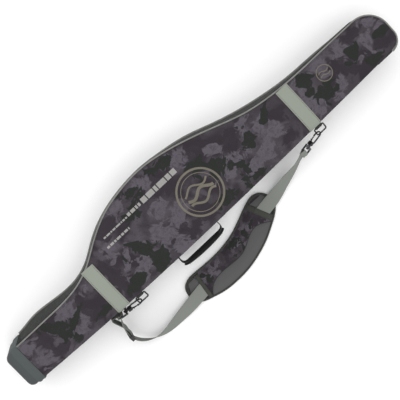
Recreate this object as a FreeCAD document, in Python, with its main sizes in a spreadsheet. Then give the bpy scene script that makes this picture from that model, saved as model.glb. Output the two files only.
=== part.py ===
"""Semi-rigid rod bag with a zipped lid, a moulded base cup, a carry handle and a padded shoulder strap.

The bag lies on its back. +X runs from the base cup to the tip, +Y from the straight spine to the reel
bulge, +Z out of the front panel. The origin is on the back panel's resting face. Millimetres.
"""
import FreeCAD, Part
import math
import os

from FreeCAD import Placement, Rotation, Vector

SIZES = [
    ("bag_length", 1300), ("bag_depth", 130), ("panel_thick", 6), ("wall_thick", 4),
    ("spine_thick", 5), ("cup_length", 46), ("cup_wall", 4), ("cup_round", 16),
    ("cup_lean", 11), ("collar_length", 22), ("collar_proud", 2.5), ("zip_height", 70), ("zip_end", 565),
    ("lid_zip_end", 593), ("hinge_height", 112), ("seam_gap", 0.5), ("lid_gap", 1),
    ("chain_half", 1.2), ("coil_size", 2.4), ("piping_radius", 2.2),
    ("divider_thick", 4), ("divider_inset", 10), ("divider_end", 545),
    ("band_width", 38), ("band_thick", 1.5), ("lower_band_at", -337), ("upper_band_at", 336),
    ("ring_bar_side", -81), ("ring_bar_height", 76), ("ring_wire", 4), ("ring_inside", 26),
    ("ring_drop", 20), ("ring_hang", 30), ("lower_ring_at", -292), ("upper_ring_at", 349),
    ("tab_width", 20), ("hook_wire", 4.5), ("hook_half", 9), ("hook_reach", 38),
    ("stem_radius", 2), ("gate_pin_radius", 1), ("loop_width", 46), ("loop_thick", 4),
    ("strap_width", 38), ("strap_thick", 1.8), ("pad_thick", 9),
    ("binding_width", 5), ("handle_at", -83), ("handle_span", 137), ("handle_base_length", 220),
    ("handle_base_width", 44), ("handle_base_thick", 5), ("handle_reach", 20),
    ("handle_width", 36), ("grip_thick", 17), ("handle_height", 65), ("lid_round", 5),
]

# the front panel's free edge, from the base cup round the reel bulge to the tip's corner
TOP_EDGE = [
    (-604, 43.5), (-550, 43.6), (-500, 43.5), (-404, 47.7), (-345, 64.8), (-290, 96.2),
    (-209, 136.6), (-130, 154), (-67, 157.6), (0, 148.8), (76, 128.8), (146, 105.2),
    (223, 79.6), (300, 65.8), (380, 60.3), (480, 59.8), (587, 59.6),
]
# the rear panel's edge at the same places, where the zip side's wall flares out to it
REAR_SIDE = [
    56.5, 63, 61.2, 55.4, 72, 104.8, 138.5, 153.2, 156.3, 149.5, 135.5, 113, 90, 73.8, 63,
    59, 54,
]
REAR_EDGE = [(x, side) for (x, _), side in zip(TOP_EDGE, REAR_SIDE)]
TIP_ROUND, HEEL_ROUND = 62, 34  # the tip's two corners
SPINE_CREST = (-80, -74)  # where the spine bows out the most
SPINE_BASE_Y = -59.5

# the shoulder pad's edge, once round
PAD_EDGE = [
    (-208, -187), (-199, -160), (-183, -150), (-150, -147.5), (-106, -150), (-62, -149),
    (-18, -142), (27, -126.5), (71, -108.5), (98, -102.5), (119, -108.5), (133, -126),
    (138, -150), (124, -174), (93, -195.5), (49, -218.5), (4, -234), (-40, -243),
    (-84, -245), (-129, -241), (-162, -232), (-192, -220), (-205, -206),
]
# where the pad's mesh meets its cloth
PAD_SPLIT = [
    (-158, -228), (-140, -208), (-122, -200), (-84, -197.5), (-51, -200), (-18, -197),
    (4, -187), (27, -175), (47, -170), (67, -174), (98, -193),
]

# each webbing's middle line and its roll away from lying flat, in degrees: x, y, z, roll
LOWER_WEBBING = [
    (-376, -100, 62, 92), (-383, -121, 52, 90), (-387, -145, 41, 90), (-382, -168, 32, 90),
    (-366, -188, 25, 87), (-341, -203, 21, 75), (-314, -208.5, 19.5, 60), (-290, -208.5, 18, 48),
    (-264, -207, 16.2, 37), (-236, -205, 15, 23), (-206, -202, 13.7, 10), (-160, -197, 10.4, 0),
]
UPPER_WEBBING = [
    (262, -110, 63, -68), (246, -115.5, 55, -70), (226, -122.5, 43, -58), (202, -129.5, 31, -46),
    (179, -136, 22.8, -37), (158, -141.5, 17, -23), (138, -146, 13.8, -9),
    (114, -150, 10.8, -1), (88, -154.5, 10.4, 0),
]

doc = FreeCAD.newDocument("rod_bag")
sheet = doc.addObject("Spreadsheet::Sheet", "sizes")
for row, (alias, value) in enumerate(SIZES, start=1):
    sheet.set(f"A{row}", alias)
    sheet.set(f"B{row}", str(value))
    sheet.setAlias(f"B{row}", alias)
doc.recompute()
nodes = []


def size(alias):
    return float(sheet.get(alias))


HALF = size("bag_length") / 2
TIP_X = HALF - 2 * size("piping_radius") - 0.1
SHELL_START = size("cup_length") - HALF
DEPTH = size("bag_depth")
SPINE_Y = SPINE_CREST[1]
HEEL_Y = SPINE_Y + 11.3


def keep(obj, label):
    """Lists an object as one of the bag's named pieces."""
    obj.Label = label
    nodes.append(obj)
    return obj


def spline(points, closed=False):
    curve = Part.BSplineCurve()
    curve.interpolate([Vector(x, y, 0) for x, y in points], PeriodicFlag=closed)
    return curve


def moved_points(points, inset, closed=False):
    """Points beside a spline through the given ones, moved to its right by inset."""
    base = spline(points, closed)
    moved = []
    for x, y in points:
        along = base.tangent(base.parameter(Vector(x, y, 0)))[0]
        moved.append((x + along.y * inset, y - along.x * inset))
    return moved


def inset_spline(points, inset, closed=False):
    return spline(moved_points(points, inset, closed), closed)


def spine_y(x):
    """Where the spine's outer face is at x."""
    low_x = SHELL_START if x < SPINE_CREST[0] else TIP_X - HEEL_ROUND
    rise = (SPINE_BASE_Y if x < SPINE_CREST[0] else HEEL_Y) - SPINE_Y
    radius = ((low_x - SPINE_CREST[0]) ** 2 + rise**2) / (2 * rise)
    return SPINE_Y + radius - math.sqrt(radius**2 - (x - SPINE_CREST[0]) ** 2)


def spine_arc(x_from, x_to, inset):
    middle = (x_from + x_to) / 2
    three = [Vector(x, spine_y(x) + inset, 0) for x in (x_from, middle, x_to)]
    return Part.Arc(*three)


def line(a, b):
    return Part.LineSegment(Vector(*a, 0), Vector(*b, 0))


def spine_strip(x_from, x_to, outer, inner):
    """The outline of a wall that follows the spine between two places."""
    stops = [x_from] + [SPINE_CREST[0]] * (x_from < SPINE_CREST[0] < x_to) + [x_to]
    spans = list(zip(stops, stops[1:]))
    ends = [line((x, spine_y(x) + outer), (x, spine_y(x) + inner)) for x in (x_to, x_from)]
    return (
        [spine_arc(a, b, outer) for a, b in spans]
        + [ends[0]]
        + [spine_arc(b, a, inner) for a, b in reversed(spans)]
        + [ends[1]]
    )


def turn(centre, radius, angle_from, angle_to):
    """A quarter circle, clockwise from one angle to the other, in degrees."""
    circle = Part.Circle(Vector(*centre, 0), Vector(0, 0, 1), radius)
    return Part.ArcOfCircle(circle, math.radians(angle_to), math.radians(angle_from))


def free_edge(start, inset, edge=TOP_EDGE):
    """The curves from the base cup along the zip side and round the tip to the heel."""
    points = [(start, edge[0][1])] + edge[1:]
    tip = (TIP_X - TIP_ROUND, edge[-1][1] - TIP_ROUND)
    heel = (TIP_X - HEEL_ROUND, HEEL_Y + HEEL_ROUND)
    corner = Vector(tip[0], tip[1] + TIP_ROUND - inset, 0)
    through = [Vector(start, edge[0][1] - inset, 0)] + [
        Vector(*place, 0) for place in moved_points(points, inset)[1:-1]
    ]
    top = Part.BSplineCurve()
    top.interpolate(through + [corner], InitialTangent=Vector(1, 0.02, 0),
                    FinalTangent=Vector(1, 0, 0))
    return [
        top,
        turn(tip, TIP_ROUND - inset, 90, 0),
        line((TIP_X - inset, tip[1]), (TIP_X - inset, heel[1])),
        turn(heel, HEEL_ROUND - inset, 0, -90),
    ]


def outline(start, inset, edge=TOP_EDGE):
    """The closed outline of a panel, inset from the bag's own."""
    free = free_edge(start, inset, edge)
    heel_x, crest = TIP_X - HEEL_ROUND, SPINE_CREST[0]
    first = free[0].StartPoint
    return free + [
        spine_arc(heel_x, crest, inset),
        spine_arc(crest, start, inset),
        line((start, spine_y(start) + inset), (first.x, first.y)),
    ]


def ring_wall(start, end, outer, inner, edge=TOP_EDGE):
    """The outline of a thin wall along the zip side, round the tip, and back to x = end."""
    out, back = free_edge(start, outer, edge), free_edge(start, inner, edge)
    heel_x = TIP_X - HEEL_ROUND
    first, last = out[0].StartPoint, back[0].StartPoint
    return (
        out
        + [spine_arc(heel_x, end, outer)]
        + [line((end, spine_y(end) + outer), (end, spine_y(end) + inner))]
        + [spine_arc(end, heel_x, inner)]
        + back
        + [line((last.x, last.y), (first.x, first.y))]
    )


def level_sketch(name, curves, height, owner=None):
    """A sketch on a level plane; its height is a sheet expression."""
    if owner is None:
        sketch = doc.addObject("Sketcher::SketchObject", name)
        sketch.setExpression("Placement.Base.z", height)
    else:
        plane = next(f for f in owner.Origin.OriginFeatures if f.Role == "XY_Plane")
        sketch = owner.newObject("Sketcher::SketchObject", name)
        sketch.AttachmentSupport = [(plane, "")]
        sketch.MapMode = "FlatFace"
        sketch.setExpression("AttachmentOffset.Base.z", height)
    for curve in curves:
        sketch.addGeometry(curve, False)
    return sketch


def body(label, curves, height, length):
    """A Body with one sketch on a level plane and a Pad; both numbers are sheet expressions."""
    made = doc.addObject("PartDesign::Body", label)
    sketch = level_sketch(label + "_outline", curves, height, made)
    pad = made.newObject("PartDesign::Pad", label + "_pad")
    pad.Profile = sketch
    pad.setExpression("Length", length)
    sketch.Visibility = False
    doc.recompute()
    return made


def box(name, corner, dims):
    """A Part::Box whose corner and dimensions are sheet expressions or numbers."""
    made = doc.addObject("Part::Box", name)
    for key, value in zip(("Length", "Width", "Height"), dims):
        made.setExpression(key, str(value))
    for axis, value in zip("xyz", corner):
        made.setExpression("Placement.Base." + axis, str(value))
    return made


def joined(kind, name, *parts):
    """A Part boolean of objects: Cut, MultiFuse, MultiCommon or Compound."""
    made = doc.addObject("Part::" + kind, name)
    if kind == "Cut":
        made.Base, made.Tool = parts
    elif kind == "Compound":
        made.Links = list(parts)
    else:
        made.Shapes = list(parts)
    return made


def feature(label, shape, placement=None):
    made = doc.addObject("Part::Feature", label)
    made.Shape = shape
    if placement is not None:
        made.Placement = placement
    return made


def pipe(curves, radius):
    """A round rod along a chain of curves."""
    path = Part.Wire([c.toShape() for c in curves])
    start = path.Edges[0]
    circle = Part.Circle(start.valueAt(start.FirstParameter),
                         start.tangentAt(start.FirstParameter), radius)
    return path.makePipeShell([Part.Wire(circle.toShape())], True, False)


def rod(a, b, radius):
    a, b = Vector(*a), Vector(*b)
    return Part.makeCylinder(radius, (b - a).Length, a, b - a)


def make_back_panel():
    panel = body("back_panel_plate", outline(SHELL_START, 0, REAR_EDGE), "0",
                 "sizes.panel_thick")
    grooves = [
        box(f"{place}_groove",
            (f"sizes.{place}_band_at - sizes.band_width / 2 - 0.5", -80, -1),
            ("sizes.band_width + 1", 300, "sizes.band_thick + 1"))
        for place in ("lower", "upper")
    ]
    keep(joined("Cut", "back_panel", panel, joined("Compound", "grooves", *grooves)),
         "back_panel")


def make_spine_panel():
    strip = spine_strip(SHELL_START, size("zip_end"), 0, size("spine_thick"))
    keep(body("spine_panel", strip, "sizes.panel_thick",
              "sizes.hinge_height - sizes.seam_gap - sizes.panel_thick"), "spine_panel")


def make_front_panel():
    """The lid's plate, with a lip that turns down to the hinge line along the spine."""
    start = SHELL_START + size("lid_gap")
    plate = body("front_panel_plate", outline(start, 0),
                 "sizes.bag_depth - sizes.panel_thick", "sizes.panel_thick")
    lip = body("front_panel_lip", spine_strip(start, size("lid_zip_end"), 0, size("spine_thick")),
               "sizes.hinge_height + sizes.seam_gap",
               "sizes.bag_depth - sizes.panel_thick - sizes.hinge_height - sizes.seam_gap")
    whole = joined("MultiFuse", "front_panel_square", plate, lip)
    doc.recompute()
    rounded = doc.addObject("Part::Fillet", "front_panel")
    rounded.Base = whole
    radius = size("lid_round")
    rounded.Edges = [
        (n, radius, radius) for n, edge in enumerate(whole.Shape.Edges, start=1)
        if edge.BoundBox.ZMin > DEPTH - 0.1 and edge.BoundBox.XLength > 300
        and edge.BoundBox.YMax < -50 and edge.BoundBox.YLength < 20
    ]
    doc.recompute()
    keep(rounded, "front_panel")


def level_edges(curves, height):
    """Level curves as edges at a height."""
    edges = [c.toShape() for c in curves]
    for edge in edges:
        edge.translate(Vector(0, 0, height))
    return edges


def ruled_solid(low, high):
    """A solid between two level rings of edges, matched one to one."""
    sides = [Part.makeRuledSurface(a, b) for a, b in zip(low, high)]
    ends = [Part.Face(Part.Wire(Part.__sortEdges__(ring))) for ring in (low, high)]
    shell = Part.makeShell([f for side in sides for f in side.Faces] + ends)
    shell.sewShape()
    solid = Part.makeSolid(shell)
    return solid if solid.Volume > 0 else solid.reversed()


def make_gussets():
    """The zip side's walls: the rear one flares to the rear panel, the front one is the lid's."""
    wall, end = size("wall_thick"), size("zip_end")
    low = level_edges(ring_wall(SHELL_START, end, 0, wall, REAR_EDGE), size("panel_thick"))
    high = level_edges(ring_wall(SHELL_START, end, 0, wall), size("zip_height") - 2)
    keep(feature("rear_gusset", ruled_solid(low, high)), "rear_gusset")
    front = ring_wall(SHELL_START + size("lid_gap"), size("lid_zip_end"), 0, wall)
    keep(body("front_gusset", front, "sizes.zip_height + 2",
              "sizes.bag_depth - sizes.panel_thick - sizes.zip_height - 2"), "front_gusset")


def make_zip_chains():
    """Each half of the zip's coil, and the patch that closes the wall past its end."""
    coil = size("coil_size")
    rear = ring_wall(SHELL_START, size("zip_end"), 1, 1 + coil)
    front = ring_wall(SHELL_START + size("lid_gap"), size("lid_zip_end"), 1, 1 + coil)
    keep(body("zip_chain_rear", rear, "sizes.zip_height - 2", "sizes.chain_half"),
         "zip_chain_rear")
    keep(body("zip_chain_lid", front, "sizes.zip_height + 2 - sizes.chain_half",
              "sizes.chain_half"), "zip_chain_lid")
    patch = spine_strip(size("zip_end"), size("lid_zip_end") - 0.5, 0, size("wall_thick"))
    keep(body("zip_end_patch", patch, "sizes.zip_height + 2",
              "sizes.hinge_height - sizes.seam_gap - sizes.zip_height - 2"), "zip_end_patch")


def make_piping():
    radius = size("piping_radius")
    for label, start, height, edge in (
        ("front_piping", SHELL_START + size("lid_gap"), DEPTH - radius, TOP_EDGE),
        ("rear_piping", SHELL_START, radius + 0.2, REAR_EDGE),
    ):
        shape = pipe(free_edge(start, -radius - 0.1, edge), radius)
        keep(feature(label, shape, Placement(Vector(0, 0, height), Rotation())), label)


def rounded_block(name, x_from, x_to, y_from, y_to, z_from, z_to, radius, ends, lean=0):
    """A block with its long edges rounded, and the edges of its -X end too if ends.

    Its +Y side leans out by lean at the foot."""
    corners = [(y_from, z_from), (y_to + lean, z_from), (y_to, z_to), (y_from, z_to)]
    section = Part.makePolygon([Vector(x_from, y, z) for y, z in corners + corners[:1]])
    block = feature(name + "_block", Part.Face(section).extrude(Vector(x_to - x_from, 0, 0)))
    doc.recompute()
    fillet = doc.addObject("Part::Fillet", name)
    fillet.Base = block
    chosen = []
    for number, edge in enumerate(block.Shape.Edges, start=1):
        xs = [v.X for v in edge.Vertexes]
        along = abs(xs[0] - xs[1]) > 1
        if along or (ends and max(xs) < x_from + 1):
            chosen.append((number, radius, radius))
    fillet.Edges = chosen
    doc.recompute()
    return fillet


def make_base_cup():
    """The moulded cup that closes the base, with its folded collar and inner foot."""
    wall, top, low = size("cup_wall"), TOP_EDGE[0][1] + 3, SPINE_BASE_Y - 1.5
    lean = size("cup_lean")
    outer = rounded_block("cup_outer", -HALF, SHELL_START, low, top, 0, DEPTH,
                          size("cup_round"), True, lean)
    inner = rounded_block("cup_inner", wall - HALF, SHELL_START + 1, low + wall, top - wall,
                          wall, DEPTH - wall, size("cup_round") - wall, True, lean)
    keep(joined("Cut", "base_cup", outer, inner), "base_cup")
    proud, start = size("collar_proud"), SHELL_START - size("collar_length")
    ring = rounded_block("collar_outer", start, SHELL_START - 0.2, low - proud, top + proud,
                         0.2, DEPTH + proud, size("cup_round") + proud, False, lean)
    hole = rounded_block("collar_hole", start - 1, SHELL_START + 1, low, top, -0.01, DEPTH,
                         size("cup_round"), False, lean)
    keep(joined("Cut", "cup_collar", ring, hole), "cup_collar")
    edge = wall + 12.5
    foot = rounded_block("butt_pad", wall - HALF + 0.1, wall - HALF + 10, low + edge,
                         top - edge, edge, DEPTH - edge, 4, False)
    keep(foot, "butt_pad")


def make_dividers():
    """Two padded leaves that part the inside into three rod bays."""
    inset, thick, end = size("divider_inset"), size("divider_thick"), size("divider_end")
    bay = (DEPTH - 2 * size("panel_thick") - 2 * thick) / 3
    start = SHELL_START + 8
    for number, label in enumerate(("divider_lower", "divider_upper"), start=1):
        low = size("panel_thick") + number * bay + (number - 1) * thick
        leaf = body(label + "_leaf", outline(start, inset), str(low), "sizes.divider_thick")
        cutter = box(label + "_end", ("sizes.divider_end", -100, 0), (300, 300, 200))
        keep(joined("Cut", label, leaf, cutter), label)
    for label, low in (
        ("rod_straps_rear", size("panel_thick")),
        ("rod_straps_lower", size("panel_thick") + bay + thick),
        ("rod_straps_upper", size("panel_thick") + 2 * (bay + thick)),
    ):
        straps = [
            box(f"{label}_{n}", (at - 12.5, -48, low), (25, 82, 2))
            for n, at in enumerate((-470, -20, 420))
        ]
        keep(joined("Compound", label, *straps), label)


def make_bands():
    """Webbing bands round the bag: a front run on the lid, and a spine and back run."""
    half, thick = size("band_width") / 2, size("band_thick")
    for place in ("lower", "upper"):
        at = size(place + "_band_at")
        x_from, face = at - half, spine_y(at)
        tops = []
        for edge in (TOP_EDGE, REAR_EDGE):
            curve = spline(edge)
            sides = [curve.value(curve.parameter(Vector(x, 60, 0))).y for x in (at - half, at + half)]
            tops.append(min(sides) - 3)
        front = Part.makeBox(2 * half, tops[0] - face - 6, thick, Vector(x_from, face + 6, DEPTH))
        keep(feature(place + "_band_front", front), place + "_band_front")
        outer = face - thick - 0.7
        spine = Part.makeBox(2 * half, thick, size("hinge_height") - 2, Vector(x_from, outer, 0.1))
        back = Part.makeBox(2 * half, tops[1] - outer, thick - 0.2, Vector(x_from, outer, 0.1))
        keep(feature(place + "_band_rear", spine.fuse(back).removeSplitter()),
             place + "_band_rear")


def make_ring_and_tab(place):
    """A wire D-ring that hangs from a webbing tab on the spine."""
    at, y, z = size(place + "_ring_at"), size("ring_bar_side"), size("ring_bar_height")
    wire, inside, drop = size("ring_wire") / 2, size("ring_inside"), size("ring_drop")
    half, corner, wide = inside / 2 + wire, 4, size("tab_width")
    under = size("band_thick") + 1 if place == "upper" else 0.4
    foot = spine_y(at) - under
    left = at - wide / 2
    patch = Part.makeBox(wide, 2, 38, Vector(left, foot - 2, z - 22))
    neck = Part.makeBox(wide, foot - 1 - y, 8, Vector(left, y, z - 4))
    nose = rod((left, y, z), (left + wide, y, z), 4)
    hole = rod((left - 1, y, z), (left + wide + 1, y, z), wire + 0.3)
    tab = patch.fuse([neck, nose]).removeSplitter().cut(hole)
    keep(feature(place + "_ring_tab", tab.Solids[0]), place + "_ring_tab")
    bow = half - corner
    curves = [
        line((-bow, 0), (bow, 0)),
        turn((bow, -corner), corner, 90, 0),
        line((half, -corner), (half, corner - drop)),
        turn((bow, corner - drop), corner, 0, -90),
        line((bow, -drop), (-bow, -drop)),
        turn((-bow, corner - drop), corner, -90, -180),
        line((-half, corner - drop), (-half, -corner)),
        turn((-bow, -corner), corner, 180, 90),
    ]
    ring = pipe(curves, wire)
    hang = Rotation(Vector(1, 0, 0), size("ring_hang"))
    keep(feature(place + "_ring", ring, Placement(Vector(at, y, z), hang)), place + "_ring")


def hook_shapes(side):
    """A swivel snap hook along +X in its own plane, its bow on the given side: body and gate."""
    wire, half, reach = size("hook_wire") / 2, size("hook_half"), size("hook_reach")
    stem, pin = size("stem_radius"), size("gate_pin_radius")
    block = Part.makeBox(11, 15, 7, Vector(3.5, -6, -3.5))
    block = block.makeFillet(2.2, [e for e in block.Edges if e.Length < 10.9])
    shank = rod((-7.2, 0, 0), (5, 0, 0), stem).fuse(
        [rod((-9, 0, 0), (-7.2, 0, 0), 3.6), rod((0.3, 0, 0), (4, 0, 0), 4.2)])
    curves = [
        line((12, -half + 2.5), (16, -half)),
        line((16, -half), (reach, -half)),
        Part.Arc(Vector(reach, -half, 0), Vector(reach + half, 0, 0), Vector(reach, half, 0)),
        line((reach, half), (reach - 6, half)),
    ]
    bow = pipe(curves, wire)
    ball = Part.makeSphere(wire + 0.3, Vector(reach - 6, half, 0))
    slot = Part.makeBox(12, 9, 3.6, Vector(8, 2.6, -1.8))
    pivot = (11.5, 6.2)
    pin_rod = rod((*pivot, -3.4), (*pivot, 3.4), pin)
    hook = block.fuse([shank, bow]).cut(slot).fuse([ball, pin_rod])
    bar_end = (reach - 6 - wire - 1.1, half - 0.2)
    gate = rod((*pivot, -1.5), (*pivot, 1.5), 2.3)
    tongue = Part.makeBox(6, 3.6, 3, Vector(pivot[0], pivot[1] - 1.8, -1.5))
    bar = rod((pivot[0] + 4.5, pivot[1] + 0.6, 0), (*bar_end, 0), 1.7)
    knob = rod((pivot[0] + 8, pivot[1] + 1, 0), (pivot[0] + 8, pivot[1] + 5, 0), 1.5)
    gate = gate.fuse([tongue, bar, knob]).cut(rod((*pivot, -4), (*pivot, 4), pin + 0.08))
    if side < 0:
        flip = FreeCAD.Matrix()
        flip.rotateX(math.pi)
        hook, gate = hook.transformed(flip, True), gate.transformed(flip, True)
    return hook, gate


def loop_shape():
    """The webbing loop that the hook swivels in, its slot along local Y."""
    half, thick, stem = size("loop_width") / 2, size("loop_thick"), size("stem_radius")
    frame = Part.makeBox(20, 2 * half, thick, Vector(-20, -half, -thick / 2))
    slot = Part.makeBox(10.6, 2 * half - 7, thick + 2, Vector(-16.6, -half + 3.5, -thick / 2 - 1))
    frame = frame.cut(slot)
    boss = rod((-6, 0, 0), (0, 0, 0), 4.6)
    hole = rod((-7, 0, 0), (1, 0, 0), stem + 0.1)
    return frame.fuse(boss).cut(hole)


def sleeve_shape():
    """The webbing's turn round the loop's end bar, in the loop's own frame."""
    wide, thick, bar = size("strap_width"), size("strap_thick"), size("loop_thick")
    outer = Part.makeBox(3.8 + 2 * thick, wide, bar + 0.4 + 2 * thick,
                         Vector(-20.2 - thick, -wide / 2, -bar / 2 - 0.2 - thick))
    outer = outer.makeFillet(2.2, [e for e in outer.Edges if e.Length > wide - 1])
    return outer.cut(Part.makeBox(3.8, wide + 2, bar + 0.4, Vector(-20.2, -wide / 2 - 1,
                                                                  -bar / 2 - 0.2)))


def hook_placements(place):
    """Where a hook's swivel face and its webbing loop stand."""
    wire = size("ring_wire") / 2
    tail = size("hook_reach") + size("hook_half") + size("hook_wire") / 2
    ring_left = size(place + "_ring_at") - size("ring_inside") / 2 - wire
    bow_end = ring_left + wire + size("hook_wire") + 4.4
    heading, loop_turn = (10, 60) if place == "upper" else (-8, 105)
    hang = math.radians(size("ring_hang"))
    held = size("ring_drop") - (4.95 if place == "upper" else 4.55)
    bow = Vector(bow_end, size("ring_bar_side") - held * math.cos(hang),
                 size("ring_bar_height") - held * math.sin(hang))
    turned = Rotation(Vector(0, 0, 1), heading)
    base = bow - turned.multVec(Vector(tail, 0, 0))
    roll = Rotation(Vector(1, 0, 0), size("ring_hang") - 90)
    loop_roll = Rotation(Vector(1, 0, 0), loop_turn)
    return Placement(base, turned * roll), Placement(base, turned * loop_roll)


def make_hook(place):
    hook, gate = hook_shapes(1 if place == "upper" else -1)
    stand, loop_stand = hook_placements(place)
    keep(feature(place + "_hook", hook, stand), place + "_hook")
    keep(feature(place + "_hook_gate", gate, stand), place + "_hook_gate")
    keep(feature(place + "_swivel_loop", loop_shape(), loop_stand), place + "_swivel_loop")


def ribbon_frame(stations, n):
    """The direction, the width's direction and the face's normal of a webbing at a station."""
    a, b = stations[max(n - 1, 0)], stations[min(n + 1, len(stations) - 1)]
    along = (Vector(*b[:3]) - Vector(*a[:3])).normalize()
    level = Vector(0, 0, 1).cross(along).normalize()
    rise = along.cross(level)
    angle = math.radians(stations[n][3])
    across = level * math.cos(angle) + rise * math.sin(angle)
    return along, across, rise * math.cos(angle) - level * math.sin(angle)


def webbing(stations, loop_stand, side):
    """A ribbon of webbing from a swivel loop's bar, through stations, as one ruled solid."""
    half, thick = size("strap_width") / 2, size("strap_thick") / 2
    turn_out = loop_stand.Rotation
    start = loop_stand.multVec(Vector(-19.4 - size("strap_thick"), 0, 0))
    frames = [(start, turn_out.multVec(Vector(0, side, 0)), turn_out.multVec(Vector(0, 0, -side)))]
    for n, station in enumerate(stations):
        frames.append((Vector(*station[:3]), *ribbon_frame(stations, n)[1:]))
    wires = []
    for middle, across, normal in frames:
        corners = [middle + across * (half * u) + normal * (thick * v)
                   for u, v in ((-1, -1), (1, -1), (1, 1), (-1, 1))]
        wires.append(Part.makePolygon(corners + corners[:1]))
    ribbon = Part.makeLoft(wires, True, True)
    sleeve = sleeve_shape()
    sleeve.Placement = loop_stand
    return ribbon.fuse(sleeve)


def make_strap():
    """Both runs of webbing, and the adjuster that the lower one threads."""
    for place, stations, side in (("lower", LOWER_WEBBING, 1), ("upper", UPPER_WEBBING, -1)):
        loop_stand = hook_placements(place)[1]
        keep(feature(place + "_webbing", webbing(stations, loop_stand, side)),
             place + "_webbing")
    half = size("strap_width") / 2 + 5.5
    frame = Part.makeBox(9.4, 2 * half, 16, Vector(-4.7, -half, -8))
    frame = frame.makeFillet(1.6, [e for e in frame.Edges if e.Length < 10])
    hole = Part.makeBox(size("strap_thick") + 4.6, 2 * half - 7, 30,
                        Vector(-size("strap_thick") / 2 - 2.3, -half + 3.5, -15))
    n = 2
    along, across, normal = ribbon_frame(LOWER_WEBBING, n)
    stand = Placement(Vector(*LOWER_WEBBING[n][:3]), Rotation(normal, across, along))
    keep(feature("strap_adjuster", frame.cut(hole), stand), "strap_adjuster")


def make_shoulder_pad():
    """The crescent pad: foam, binding, two top panels and the two end tabs."""
    rim = size("binding_width")
    core = body("pad_core", [inset_spline(PAD_EDGE, rim, True)], "0", "sizes.pad_thick - 0.6")
    keep(core, "pad_core")
    outer = body("binding_outer", [spline(PAD_EDGE, True)], "0.1", "sizes.pad_thick - 0.1")
    hole = body("binding_hole", [inset_spline(PAD_EDGE, rim, True)], "-1",
                "sizes.pad_thick + 2")
    keep(joined("Cut", "pad_binding", outer, hole), "pad_binding")
    face = body("pad_face", [inset_spline(PAD_EDGE, rim + 0.3, True)], "sizes.pad_thick - 0.6",
                "0.5")
    under = PAD_SPLIT + [(96, -260), (-136, -260)]
    split = body("pad_split",
                 [spline(PAD_SPLIT), line(PAD_SPLIT[-1], under[-2]), line(under[-2], under[-1]),
                  line(under[-1], PAD_SPLIT[0])], "0", "20")
    keep(joined("MultiCommon", "pad_mesh", face, split), "pad_mesh")
    keep(joined("Cut", "pad_cloth", face, split), "pad_cloth")
    thick = size("pad_thick")
    for place, x, y, wide, length, heading, aside in (
        ("lower", -159, -192, 11, 76, -8, -4), ("upper", 85, -149, 16, 78, 24, -6),
    ):
        bar = Part.makeBox(wide, length, 4, Vector(-wide / 2, -length / 2, 0))
        tunnel_width = size("strap_width") + 10
        tunnel = Part.makeBox(40, tunnel_width, 2.9, Vector(-20, aside - tunnel_width / 2, -0.1))
        bar = bar.makeFillet(1.5, [e for e in bar.Edges if e.Length > 70 and
                                   e.BoundBox.ZMin > 3]).cut(tunnel)
        stand = Placement(Vector(x, y, thick), Rotation(Vector(0, 0, 1), heading))
        keep(feature(place + "_pad_tab", bar, stand), place + "_pad_tab")


def make_handle():
    """The carry handle: a base strip on the spine, two webbing legs and a padded grip."""
    at, span, z = size("handle_at"), size("handle_span"), size("handle_height")
    reach, width, thick = size("handle_reach"), size("handle_width"), size("grip_thick")
    length, tall, deep = (size("handle_base_" + key) for key in ("length", "width", "thick"))
    face = SPINE_Y - 0.2
    strip = Part.makeBox(length, deep, tall, Vector(at - length / 2 + 6, face - deep, z - tall / 2))
    strip = strip.makeFillet(2, [e for e in strip.Edges if e.BoundBox.YMax < face - 1])
    keep(feature("handle_base", strip), "handle_base")
    outer = face - deep - 0.6
    side = [(0, 0.4), (1.5 - width / 2, width / 2), (1 - reach, width / 2)]
    side += [(y, -dz) for y, dz in reversed(side)]
    legs = []
    for s in (-1, 1):
        x = at + s * (span / 2) - 1
        corners = [Vector(x, outer + y, z + dz) for y, dz in side + side[:1]]
        legs.append(Part.Face(Part.makePolygon(corners)).extrude(Vector(2, 0, 0)))
    keep(feature("handle_legs", Part.makeCompound(legs)), "handle_legs")
    grip = Part.makeBox(span + 6, thick, width + 4,
                        Vector(at - span / 2 - 3, outer - reach - thick + 1, z - width / 2 - 2))
    grip = grip.makeFillet(6, [e for e in grip.Edges if e.Length > span])
    keep(feature("handle_grip", grip), "handle_grip")


def make_slider():
    """The zip's slider, parked past the lid's end of the zip, and its pull."""
    x, z = size("zip_end") + 13, size("zip_height")
    face = spine_y(x)
    pin_y = face - 6.6
    outer = Part.makeBox(12, 1.6, 11, Vector(x - 6, face - 1.9, z - 5.5))
    inner = Part.makeBox(12, 1.4, 9, Vector(x - 6, face + 4.4, z - 4.5))
    post = Part.makeBox(2.4, 7, 0.8, Vector(x + 3, face - 1.2, z - 0.4))
    lug = Part.makeBox(6, 7.2, 4, Vector(x - 3, pin_y - 2, z - 2))
    bore = rod((x, pin_y, z - 4), (x, pin_y, z + 4), 0.93)
    keep(feature("zip_slider", outer.fuse([inner, post, lug]).cut(bore)), "zip_slider")
    pin = rod((x, pin_y, z - 5), (x, pin_y, z + 5), 0.85)
    arms = [Part.makeBox(8, 1.8, 1.8, Vector(x - 0.8, pin_y - 0.9, z + dz)) for dz in (-5, 3.2)]
    plate = Part.makeBox(40, 3.4, 10, Vector(x + 6, pin_y - 1.7, z - 5))
    plate = plate.makeFillet(1.2, [e for e in plate.Edges if e.Length > 39])
    keep(feature("zip_pull", pin.fuse(arms + [plate])), "zip_pull")


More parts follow.
